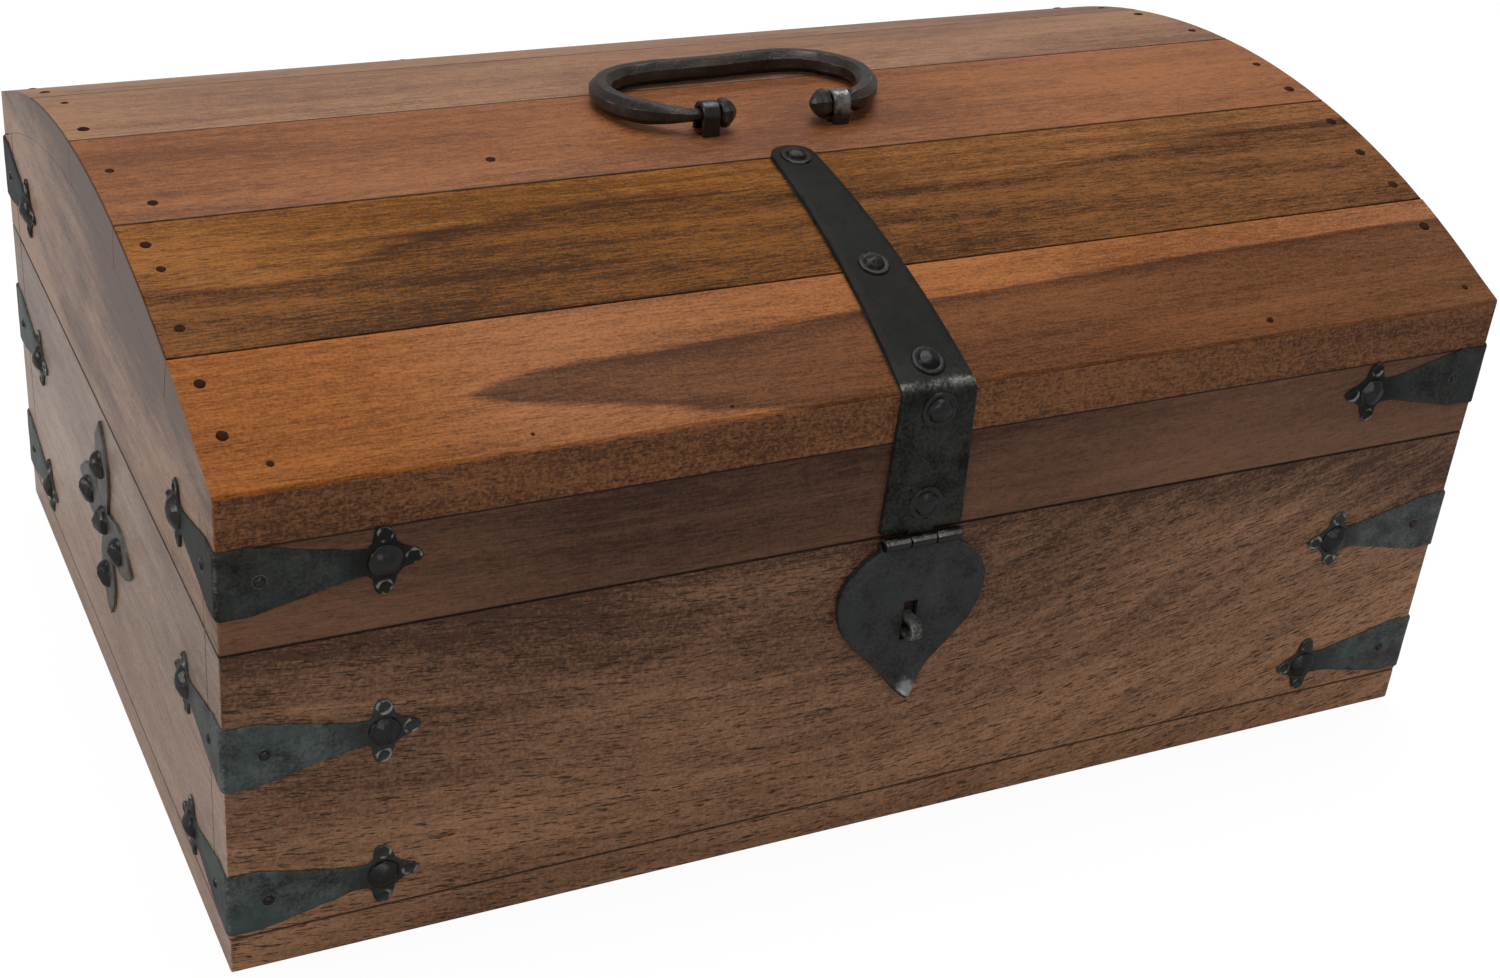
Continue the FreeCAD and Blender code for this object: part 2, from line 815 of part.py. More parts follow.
def hasp_strap():
    tip = size.hasp_strap_run - half_depth
    room = size.hasp_strap_width + size.overrun
    profile = padded("StrapProfile", "YZ_Plane", hasp_strap_profile(tip + size.overrun), room, middle=True)
    plan = padded("StrapPlan", "XY_Plane", hasp_strap_plan(tip), total_height + size.overrun)
    blank = boolean("Common", "StrapBlank", profile, plan)
    inner = knuckle_spans(0, size.hasp_barrel_length)[1]
    tab_y = (-half_depth - strap_outer, -half_depth - strap_inner)
    tab_z = (hasp_axis_z, hasp_axis_z + hasp_clear + size.hasp_strap_thickness)
    node(knuckled("HaspStrap", blank, (inner,), tab_y, tab_z, hasp_barrel), "hasp_strap")
    node(hinge_pin(hasp_barrel), "hasp_pin")

    rivets = []
    head = domed_head(size.hasp_rivet_diameter, size.hasp_rivet_height)
    face = -half_depth - strap_outer
    for share in side_rivet_shares:
        rivets.append(nail(head, "front", 0, face, lid_bottom + size.lid_side_height * share))
    for share in plank_rivet_shares:
        y = size.hasp_strap_run * share - half_depth
        seat = on_arch(y, arch_radius + strap_outer)
        rivet = nail(head, "top", 0, seat[0], seat[1])
        bind(rivet, "Placement.Rotation.Angle", arc_sine(-y / arch_radius))
        rivets.append(rivet)
    node(group("StrapRivets", rivets), "hasp_strap_rivets")


def hasp_outline():
    half = size.hasp_width / 2
    top = -hasp_clear

    def place(shares):
        return (half * shares[0], -size.hasp_length * shares[1])

    start = (size.hasp_barrel_length / 2, top)
    steps = [
        [place(hasp_crown_share), place((1, hasp_widest_share))],
        [place(hasp_flank_share), place(hasp_hollow_start_share)],
        [place(hasp_hollow_share), place(hasp_tip_share)],
    ]
    tip = [(0, -size.hasp_length), flip_first(steps[-1][-1])]
    return start, steps + [tip] + reflected(start, steps, flip_first) + [[start]]


def hasp_profile():
    # the plate from the side: flat against the box, its tip bent outwards
    inner = -half_depth - size.hasp_stand_off
    outer = inner - size.hasp_thickness
    centre = outer - size.hasp_bend_radius
    bend = -size.hasp_length * hasp_bend_share
    small = size.hasp_bend_radius
    large = size.hasp_bend_radius + size.hasp_thickness

    def on_bend(radius, angle):
        return (centre + radius * cosine(angle), bend - radius * sine(angle))

    full = size.hasp_bend_angle
    start = (inner, -hasp_clear)
    return start, [
        [(inner, bend)],
        [on_bend(large, full / 2), on_bend(large, full)],
        [on_bend(small, full)],
        [on_bend(small, full / 2), (outer, bend)],
        [(outer, -hasp_clear)],
        [start],
    ]


def hasp_plate():
    profile = padded("HaspProfile", "YZ_Plane", hasp_profile(), size.hasp_width + size.overrun, middle=True)
    plan_depth = half_depth + size.hasp_length
    plan = padded("HaspPlan", "XZ_Plane", hasp_outline(), plan_depth)
    for blank in (profile, plan):
        move(blank, 0, 0, hasp_axis_z)
    plate = boolean("Common", "HaspBlank", profile, plan)
    inner = -half_depth - size.hasp_stand_off
    slot_half = size.staple_width / 2 + size.slot_side_room
    staple_half = size.staple_height / 2
    slot_low = staple_z - staple_half - size.slot_room_below
    slot_high = staple_z + staple_half + size.slot_room_above
    slot = block("HaspSlot", (-slot_half, slot_half),
                 (inner - size.hasp_thickness - size.overrun, inner + size.overrun), (slot_low, slot_high))
    slotted = boolean("Cut", "SlottedHasp", plate, slot)
    outer_left, _, outer_right = knuckle_spans(0, size.hasp_barrel_length)
    tab_y = (inner - size.hasp_thickness, inner)
    tab_z = (hasp_axis_z - hasp_clear - size.hasp_thickness, hasp_axis_z)
    node(knuckled("Hasp", slotted, (outer_left, outer_right), tab_y, tab_z, hasp_barrel), "hasp_plate")


def staple_slots():
    # the two slots in the front board that the staple's legs go through
    half = size.staple_width / 2 + size.staple_clearance
    deep = (-half_depth - size.overrun, size.board_thickness + size.overrun - half_depth)
    low = size.staple_height / 2 - size.staple_thickness - size.staple_clearance
    high = size.staple_height / 2 + size.staple_clearance
    upper = block("UpperSlot", (-half, half), deep, (staple_z + low, staple_z + high))
    lower = block("LowerSlot", (-half, half), deep, (staple_z - high, staple_z - low))
    return fuse("StapleSlots", [upper, lower])


def staple():
    # a flat strip bent to a U, its legs turned apart behind the board
    out = -half_depth - size.staple_reach
    inside = size.board_thickness + size.seat_gap - half_depth
    thick = size.staple_thickness
    half = size.staple_height / 2
    inner = half - thick
    foot = half + size.staple_foot
    bulge = half * diagonal_share
    inner_bulge = inner * diagonal_share
    centre = out + half
    start = (centre, half)
    steps = [
        [(inside, half)],
        [(inside, foot)],
        [(inside + thick, foot)],
        [(inside + thick, inner)],
        [(centre, inner)],
        [(centre - inner_bulge, inner_bulge), (centre - inner, 0)],
    ]
    back = reflected(start, steps, flip_second)
    nose = [[(centre - bulge, -bulge), (centre - half, 0)], [(centre - bulge, bulge), start]]
    strip = padded("Staple", "YZ_Plane", (start, steps + back + nose), size.staple_width, middle=True)
    move(strip, 0, 0, staple_z)
    node(strip, "padlock_staple")


# Handle: a forged bail with tapered necks and knobs, turning in two eyes on the middle plank

handle_y = -size.handle_place
handle_lift = size.handle_knob_radius + size.knob_clearance
handle_z = arch_height(arch_radius, size.handle_place) + handle_lift
eye_half = size.handle_eye_spacing / 2
neck_in = eye_half - size.eye_width / 2 - size.eye_side_gap
neck_out = eye_half + size.eye_width / 2 + size.eye_side_gap
bar_start = neck_out + size.handle_taper
handle_reach = size.handle_reach
eye_radius = size.handle_neck_radius + size.eye_clearance + size.eye_thickness
shank_half = size.eye_thickness


def eye_slots():
    half = size.eye_width / 2 + size.joint_gap
    deep = (handle_y - shank_half - size.joint_gap, handle_y + shank_half + size.joint_gap)
    tall = (total_height - 2 * size.plank_thickness, total_height + size.overrun)
    slots = []
    for right in (-1, 1):
        x = size.handle_offset + right * eye_half
        slots.append(block("EyeSlot", (x - half, x + half), deep, tall))
    return fuse("EyeSlots", slots)


def handle_eye(side, right):
    # a split pin: an eye, a shank through the plank and two feet turned apart under it
    x = size.handle_offset + right * eye_half
    span = (x - size.eye_width / 2, x + size.eye_width / 2)
    foot_reach = shank_half + size.eye_foot
    under = arch_height(inner_radius, size.handle_place + foot_reach) - size.seat_gap
    low = under - size.eye_thickness
    shank = block("Shank", span, (handle_y - shank_half, handle_y + shank_half), (low, handle_z))
    feet = block("Feet", span, (handle_y - foot_reach, handle_y + foot_reach), (low, under))
    ring = rod("Ring", eye_radius, span, handle_y, handle_z)
    bore = rod("EyeBore", size.handle_neck_radius + size.eye_clearance,
               (span[0] - size.overrun, span[1] + size.overrun), handle_y, handle_z)
    node(boolean("Cut", "Eye", fuse("EyeBlank", [ring, shank, feet]), bore), f"{side}_handle_eye")


def quarter_bend(centre, radius, first):
    # the bend's corners from the angle first, a quarter turn to the left in short flats
    steps = []
    for index in range(1, bend_facet_count + 1):
        angle = math.radians(first + 90 * index / bend_facet_count)
        steps.append([(centre[0] + radius * math.cos(angle), centre[1] + radius * math.sin(angle))])
    return steps


def handle_side(side_x):
    # from the end of the bar round its near and far bends
    near = side_x - bar_start - size.handle_lead
    far = handle_reach * handle_far_share
    steps = [[(side_x - near, 0)]]
    steps += quarter_bend((side_x - near, near), near, -90)
    steps.append([(side_x, handle_reach - far)])
    return steps + quarter_bend((side_x - far, handle_reach - far), far, 0)


def handle_path():
    # the loop stands a little to the left of the middle of its eyes
    start = (bar_start, 0)
    right = handle_side(size.handle_half_width - size.handle_shift)
    left = handle_side(size.handle_half_width + size.handle_shift)
    across = [flip_first(left[-1][-1])]
    return start, right + [across] + reflected(start, left, flip_first)


def handle_end():
    # the right end: the bar tapers to a neck, and a knob keeps it in its eye
    turn = FreeCAD.Placement(FreeCAD.Vector(), facing_turns["left"])
    taper_share = (1 - size.handle_neck_radius / size.handle_bar_radius) * math.cos(math.pi / bar_side_count)
    taper = head("Taper", bar_side_count, 2 * size.handle_bar_radius, size.handle_taper,
                 (taper_share, taper_length_share))
    knob = head("Knob", bar_side_count, 2 * size.handle_knob_radius, size.handle_knob_length,
                knob_crown_shares)
    neck = doc.addObject("Part::Prism", "Neck")
    neck.Polygon = bar_side_count
    bind(neck, "Circumradius", size.handle_neck_radius)
    bind(neck, "Height", neck_out - neck_in)
    for piece, x in ((taper, bar_start), (knob, neck_in), (neck, neck_out)):
        piece.Placement = turn
        move(piece, x, 0, 0)
    return fuse("HandleEnd", [taper, neck, knob])


def handle_bail():
    frame = doc.addObject("PartDesign::Body", "HandleFrame")
    path = sketch_on(frame, "HandlePath", "XY_Plane")
    start, steps = handle_path()
    outline(path, start, steps)
    section = doc.addObject("Part::RegularPolygon", "BarSection")
    section.Placement = FreeCAD.Placement(FreeCAD.Vector(), facing_turns["right"])
    section.Polygon = bar_side_count
    bind(section, "Circumradius", size.handle_bar_radius)
    move(section, bar_start, 0, 0)
    bar = doc.addObject("Part::Sweep", "Bar")
    bar.Sections = [section]
    bar.Spine = (path, [f"Edge{index + 1}" for index in range(len(steps))])
    bar.Solid = True
    bar.Transition = "Right corner"
    end = handle_end()
    other = doc.addObject("Part::Mirroring", "OtherEnd")
    other.Source = end
    other.Normal = FreeCAD.Vector(1, 0, 0)

    bail = fuse("Bail", [bar, end, other])
    bail.Placement = FreeCAD.Placement(FreeCAD.Vector(), FreeCAD.Rotation(FreeCAD.Vector(-1, 0, 0), 1))
    rest_height = arch_height(arch_radius + size.handle_bar_radius + size.handle_rest_gap,
                              handle_reach - size.handle_place)
    bind(bail, "Placement.Rotation.Angle", arc_sine((handle_z - rest_height) / handle_reach))
    move(bail, size.handle_offset, handle_y, handle_z)
    node(bail, "handle_bail")


def handle():
    for side, right in (("left", -1), ("right", 1)):
        handle_eye(side, right)
    handle_bail()


boards()
straps()
cross_plates()
rear_hinges()
hasp_strap()
hasp_plate()
staple()
handle()
doc.recompute()

for thing in doc.Objects:
    if {"Invalid", "Error"} & set(thing.State):
        raise RuntimeError(f"{thing.Label} failed: {thing.State}")
for piece in nodes:
    if piece.Shape.isNull() or not piece.Shape.isValid():
        raise RuntimeError(f"{piece.Label} has no valid shape")

os.makedirs("parts", exist_ok=True)
for piece in nodes:
    piece.Shape.exportStep(f"parts/{piece.Label}.step")
    print(f"{piece.Label}: {len(piece.Shape.Solids)} solids, {piece.Shape.Volume:.1f} cubic mm")
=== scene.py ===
import json
import math

import bmesh
import bpy
import numpy as np
from mathutils import Matrix, Vector, geometry, noise

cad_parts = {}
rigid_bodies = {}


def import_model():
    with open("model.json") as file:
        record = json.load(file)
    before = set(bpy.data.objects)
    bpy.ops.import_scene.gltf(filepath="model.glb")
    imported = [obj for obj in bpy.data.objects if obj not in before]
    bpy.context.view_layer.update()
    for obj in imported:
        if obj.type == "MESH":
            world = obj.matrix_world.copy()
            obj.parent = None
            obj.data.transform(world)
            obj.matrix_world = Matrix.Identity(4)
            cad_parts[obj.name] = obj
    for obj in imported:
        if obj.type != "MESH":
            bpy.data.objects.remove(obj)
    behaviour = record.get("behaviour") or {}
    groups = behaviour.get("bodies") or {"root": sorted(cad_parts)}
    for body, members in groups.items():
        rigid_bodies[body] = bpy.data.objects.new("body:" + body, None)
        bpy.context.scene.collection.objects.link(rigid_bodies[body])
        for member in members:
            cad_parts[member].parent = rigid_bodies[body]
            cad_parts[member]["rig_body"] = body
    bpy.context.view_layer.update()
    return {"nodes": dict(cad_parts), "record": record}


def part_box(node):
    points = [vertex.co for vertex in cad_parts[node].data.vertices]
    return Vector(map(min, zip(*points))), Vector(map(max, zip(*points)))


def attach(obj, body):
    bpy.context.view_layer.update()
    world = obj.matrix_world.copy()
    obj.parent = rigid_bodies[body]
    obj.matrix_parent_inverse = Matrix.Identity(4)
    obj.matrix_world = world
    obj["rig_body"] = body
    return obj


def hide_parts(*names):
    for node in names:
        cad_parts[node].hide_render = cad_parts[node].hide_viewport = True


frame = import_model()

# A small domed coffer of lacquered hardwood with blackened ironwork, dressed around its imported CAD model.
# Lengths in the dictionaries are millimetres and angles degrees; Blender works in metres.

mm = 0.001
nodes = frame["nodes"]
bodyOf = {name: item["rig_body"] for name, item in nodes.items()}
slotOf = {item["node"]: item["material_slot"] for item in frame["record"]["subparts"]}

chest = {
    "width": 355, "depth": 236, "seam": 93.3, "cornerRadius": 2, "crispRadius": 0.7, "edgeRadius": 1.2,
    "archRadius": 275.03, "archCentre": -115.03, "seat": 0.05,
}
halfWidth, halfDepth = chest["width"] / 2, chest["depth"] / 2
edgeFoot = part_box("lid_plank_1")[0][2] / mm  # where the front plank's edge ends


# Small tools for nodes, colours and meshes

def linearColour(hexText):
    channels = [int(hexText[at:at + 2], 16) / 255 for at in (1, 3, 5)]
    return [c / 12.92 if c <= 0.04045 else ((c + 0.055) / 1.055) ** 2.4 for c in channels] + [1.0]


def addNode(tree, kind, settings=None, inputs=None):
    # inputs: socket name or number to a node, a socket or a plain value
    made = tree.nodes.new(kind)
    for name, value in (settings or {}).items():
        setattr(made, name, value)
    for name, value in (inputs or {}).items():
        if isinstance(value, bpy.types.Node):
            value = value.outputs[0]
        if isinstance(value, bpy.types.NodeSocket):
            tree.links.new(value, made.inputs[name])
        else:
            made.inputs[name].default_value = value
    return made


def newMaterial(name):
    material = bpy.data.materials.new(name)
    material.use_nodes = True
    material.node_tree.nodes.clear()
    return material, material.node_tree


def laidOver(tree, colour, covers):
    # covers: pairs of an amount and a hex colour, laid one over another
    for amount, hexText in covers:
        colour = addNode(tree, "ShaderNodeMix", {"data_type": "RGBA"}, {
            0: amount, 6: colour, 7: linearColour(hexText)}).outputs[2]
    return colour


def linkNew(name, mesh, material):
    made = bpy.data.objects.new(name, mesh)
    bpy.context.scene.collection.objects.link(made)
    mesh.materials.clear()
    mesh.materials.append(material)
    return made


def settle(piece, nodeName):
    # the piece rides where its CAD node rides, and stands for it
    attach(piece, bodyOf[nodeName])
    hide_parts(nodeName)


def smoothByAngle(mesh, degrees):
    for face in mesh.polygons:
        face.use_smooth = True
    mesh.set_sharp_from_angle(angle=math.radians(degrees))


def addValues(mesh, name, values):
    # a number for each vert, which the materials read by its name
    layer = mesh.attributes.new(name, "FLOAT", "POINT")
    layer.data.foreach_set("value", np.asarray(values, np.float32))


def turnOutward(mesh):
    work = bmesh.new()
    work.from_mesh(mesh)
    loose = [vert for vert in work.verts if not vert.link_faces]
    bmesh.ops.delete(work, geom=loose, context="VERTS")
    bmesh.ops.recalc_face_normals(work, faces=work.faces)
    work.to_mesh(mesh)
    work.free()


def ringFaces(start, count, sides):
    # quads between rings of verts that follow one another
    faces = []
    for ring in range(count - 1):
        low, high = start + ring * sides, start + (ring + 1) * sides
        for side in range(sides):
            after = (side + 1) % sides
            faces.append((low + side, low + after, high + after, high + side))
    return faces


def fanFaces(start, sides, tip):
    return [(start + side, start + (side + 1) % sides, tip) for side in range(sides)]


easing = {"weld": 0.004, "flatWithin": 0.6, "sharpFrom": 28, "steps": 2, "profile": 0.55, "smoothTo": 14,
          "cornerSlack": 0.05, "cornerLeast": -0.001}


def crispCorner(spot):
    # the CAD's rounded upright corners drawn in to the sharper ones that the boards show
    halves = (halfWidth, halfDepth)
    corner = [abs(value) / mm - half + chest["cornerRadius"] for value, half in zip(spot, halves)]
    size = math.hypot(*corner)
    if min(corner) < easing["cornerLeast"] or not 0 < size < chest["cornerRadius"] + easing["cornerSlack"]:
        return
    reach = (chest["crispRadius"] - chest["cornerRadius"] + size) / size
    for axis, half in enumerate(halves):
        out = half - chest["crispRadius"] + corner[axis] * reach
        spot[axis] = math.copysign(out * mm, spot[axis])


def easedCopy(nodeName, ease, material, others=(), keeps=None, rub=0.0):
    # a merged copy of a CAD node with its edges eased; its wear-and-highlight attribute is 1 along the eased
    # edges.
    # others: pairs of a test of a face's normal and the material of the faces that pass it;
    # keeps: a test of the normals on both sides of an edge that stays sharp
    mesh = nodes[nodeName].data.copy()
    work = bmesh.new()
    work.from_mesh(mesh)
    bmesh.ops.remove_doubles(work, verts=work.verts, dist=easing["weld"] * mm)
    bmesh.ops.dissolve_limit(work, angle_limit=math.radians(easing["flatWithin"]),
                             verts=work.verts, edges=work.edges)
    if others:
        for vert in work.verts:
            crispCorner(vert.co)
    work.normal_update()
    sharp = []
    for edge in work.edges:
        if len(edge.link_faces) == 2 and edge.calc_face_angle(0) > math.radians(easing["sharpFrom"]):
            first, second = (face.normal for face in edge.link_faces)
            if not (keeps and keeps(first, second)):
                sharp.append(edge)
    made = bmesh.ops.bevel(work, geom=sharp, offset=ease * mm, offset_type="OFFSET", affect="EDGES",
                           segments=easing["steps"], profile=easing["profile"], clamp_overlap=True)
    eased = set(made["faces"])
    wearAndHighlight = work.verts.layers.float.new("wearAndHighlight")
    for vert in work.verts:
        vert[wearAndHighlight] = 1.0 if all(face in eased for face in vert.link_faces) else rub
    bmesh.ops.triangulate(work, faces=[face for face in work.faces if len(face.verts) > 4])
    work.to_mesh(mesh)
    work.free()
    smoothByAngle(mesh, easing["smoothTo"])
    piece = linkNew(f"{nodeName}_eased", mesh, material)
    for index, (passes, other) in enumerate(others):
        mesh.materials.append(other)
        for face in mesh.polygons:
            if passes(face.normal):
                face.material_index = index + 1
    settle(piece, nodeName)


# Camera at the photograph's place: its picture is 1500 by 978

camera = {
    "place": (-277.0, -540.32, 397.62), "azimuth": -29.143, "elevation": 31.8211, "roll": 6.1835,
    "focal": 2332.2053, "centre": (771.6977, 542.175), "picture": (1500, 978), "sensor": 36, "nearest": 10,
}


def makeCamera():
    turn, lift, roll = (math.radians(camera[key]) for key in ("azimuth", "elevation", "roll"))
    back = Vector((math.sin(turn) * math.cos(lift), -math.cos(turn) * math.cos(lift), math.sin(lift)))
    right = (-back).cross(Vector((0, 0, 1))).normalized()
    down = (-back).cross(right)
    sideways = right * math.cos(roll) - down * math.sin(roll)
    upward = -(right * math.sin(roll) + down * math.cos(roll))
    lens = bpy.data.cameras.new("photoCamera")
    wide, high = camera["picture"]
    lens.sensor_width = camera["sensor"]
    lens.lens = camera["sensor"] * camera["focal"] / wide
    lens.shift_x = (wide / 2 - camera["centre"][0]) / wide
    lens.shift_y = (camera["centre"][1] - high / 2) / wide
    lens.clip_start = camera["nearest"] * mm
    stand = bpy.data.objects.new("photoCamera", lens)
    stand.matrix_world = Matrix((sideways, upward, back)).transposed().to_4x4()
    stand.location = Vector(camera["place"]) * mm
    bpy.context.scene.collection.objects.link(stand)
    bpy.context.scene.camera = stand


# Plain studio: a floor and world that the camera sees as white, and three large soft lamps

studio = {
    "ambient": 0.3,
    "lamps": {
        "overhead": {"place": (150, 350, 1500), "aim": (0, 0, 80), "size": 1300, "power": 16},
        "frontFill": {"place": (-300, -1700, 900), "aim": (0, 0, 60), "size": 1200, "power": 3.5},
        "leftFill": {"place": (-1800, 200, 700), "aim": (0, 0, 60), "size": 1100, "power": 8},
    },
    "floorSize": 6000, "paper": "#aaaaaa", "glow": 1.3, "glowShare": 0.72,
}


def makeStudio():
    scene = bpy.context.scene
    scene.view_settings.view_transform = "Standard"
    world = bpy.data.worlds.new("whiteStudio")
    world.use_nodes = True
    tree = world.node_tree
    tree.nodes.clear()
    seen = addNode(tree, "ShaderNodeLightPath").outputs["Is Camera Ray"]
    level = addNode(tree, "ShaderNodeMapRange", inputs={
        "Value": seen, "To Min": studio["ambient"], "To Max": 1.0})
    sky = addNode(tree, "ShaderNodeBackground", inputs={"Color": (1, 1, 1, 1), "Strength": level})
    addNode(tree, "ShaderNodeOutputWorld", inputs={"Surface": sky})
    scene.world = world

    for name, lamp in studio["lamps"].items():
        light = bpy.data.lights.new(name, "AREA")
        light.shape = "DISK"
        light.size = lamp["size"] * mm
        light.energy = lamp["power"]
        stand = bpy.data.objects.new(name, light)
        place = Vector(lamp["place"]) * mm
        aim = Vector(lamp["aim"]) * mm - place
        stand.matrix_world = Matrix.Translation(place) @ aim.to_track_quat("-Z", "Y").to_matrix().to_4x4()
        scene.collection.objects.link(stand)

    material, tree = newMaterial("studioFloorPaper")
    paper = addNode(tree, "ShaderNodeBsdfDiffuse", inputs={"Color": linearColour(studio["paper"])})
    glow = addNode(tree, "ShaderNodeEmission", inputs={"Color": (1, 1, 1, 1), "Strength": studio["glow"]})
    seen = addNode(tree, "ShaderNodeLightPath").outputs["Is Camera Ray"]
    share = addNode(tree, "ShaderNodeMath", {"operation": "MULTIPLY"}, {0: seen, 1: studio["glowShare"]})
    mix = addNode(tree, "ShaderNodeMixShader", inputs={0: share, 1: paper, 2: glow})
    addNode(tree, "ShaderNodeOutputMaterial", inputs={"Surface": mix})
    half = studio["floorSize"] / 2 * mm
    corners = [(-half, -half, 0), (half, -half, 0), (half, half, 0), (-half, half, 0)]
    mesh = bpy.data.meshes.new("studioFloor")
    mesh.from_pydata(corners, [], [(0, 1, 2, 3)])
    floor = linkNew("studioFloor", mesh, material)


# Lacquered hardwood. Sawn and planed boards under a satin lacquer: long fibres with short dark pores,
# rings that the saw cuts to long arches, heartwood that ends in a clear line, and a grey sheen where
# the light glances off.
# fibre, strand, speckle, blotch, rings and pores are how strongly each shows. shades, sweep, figure, blush,
# upper and lower are drawn lines: pairs of a place along an axis and a value.

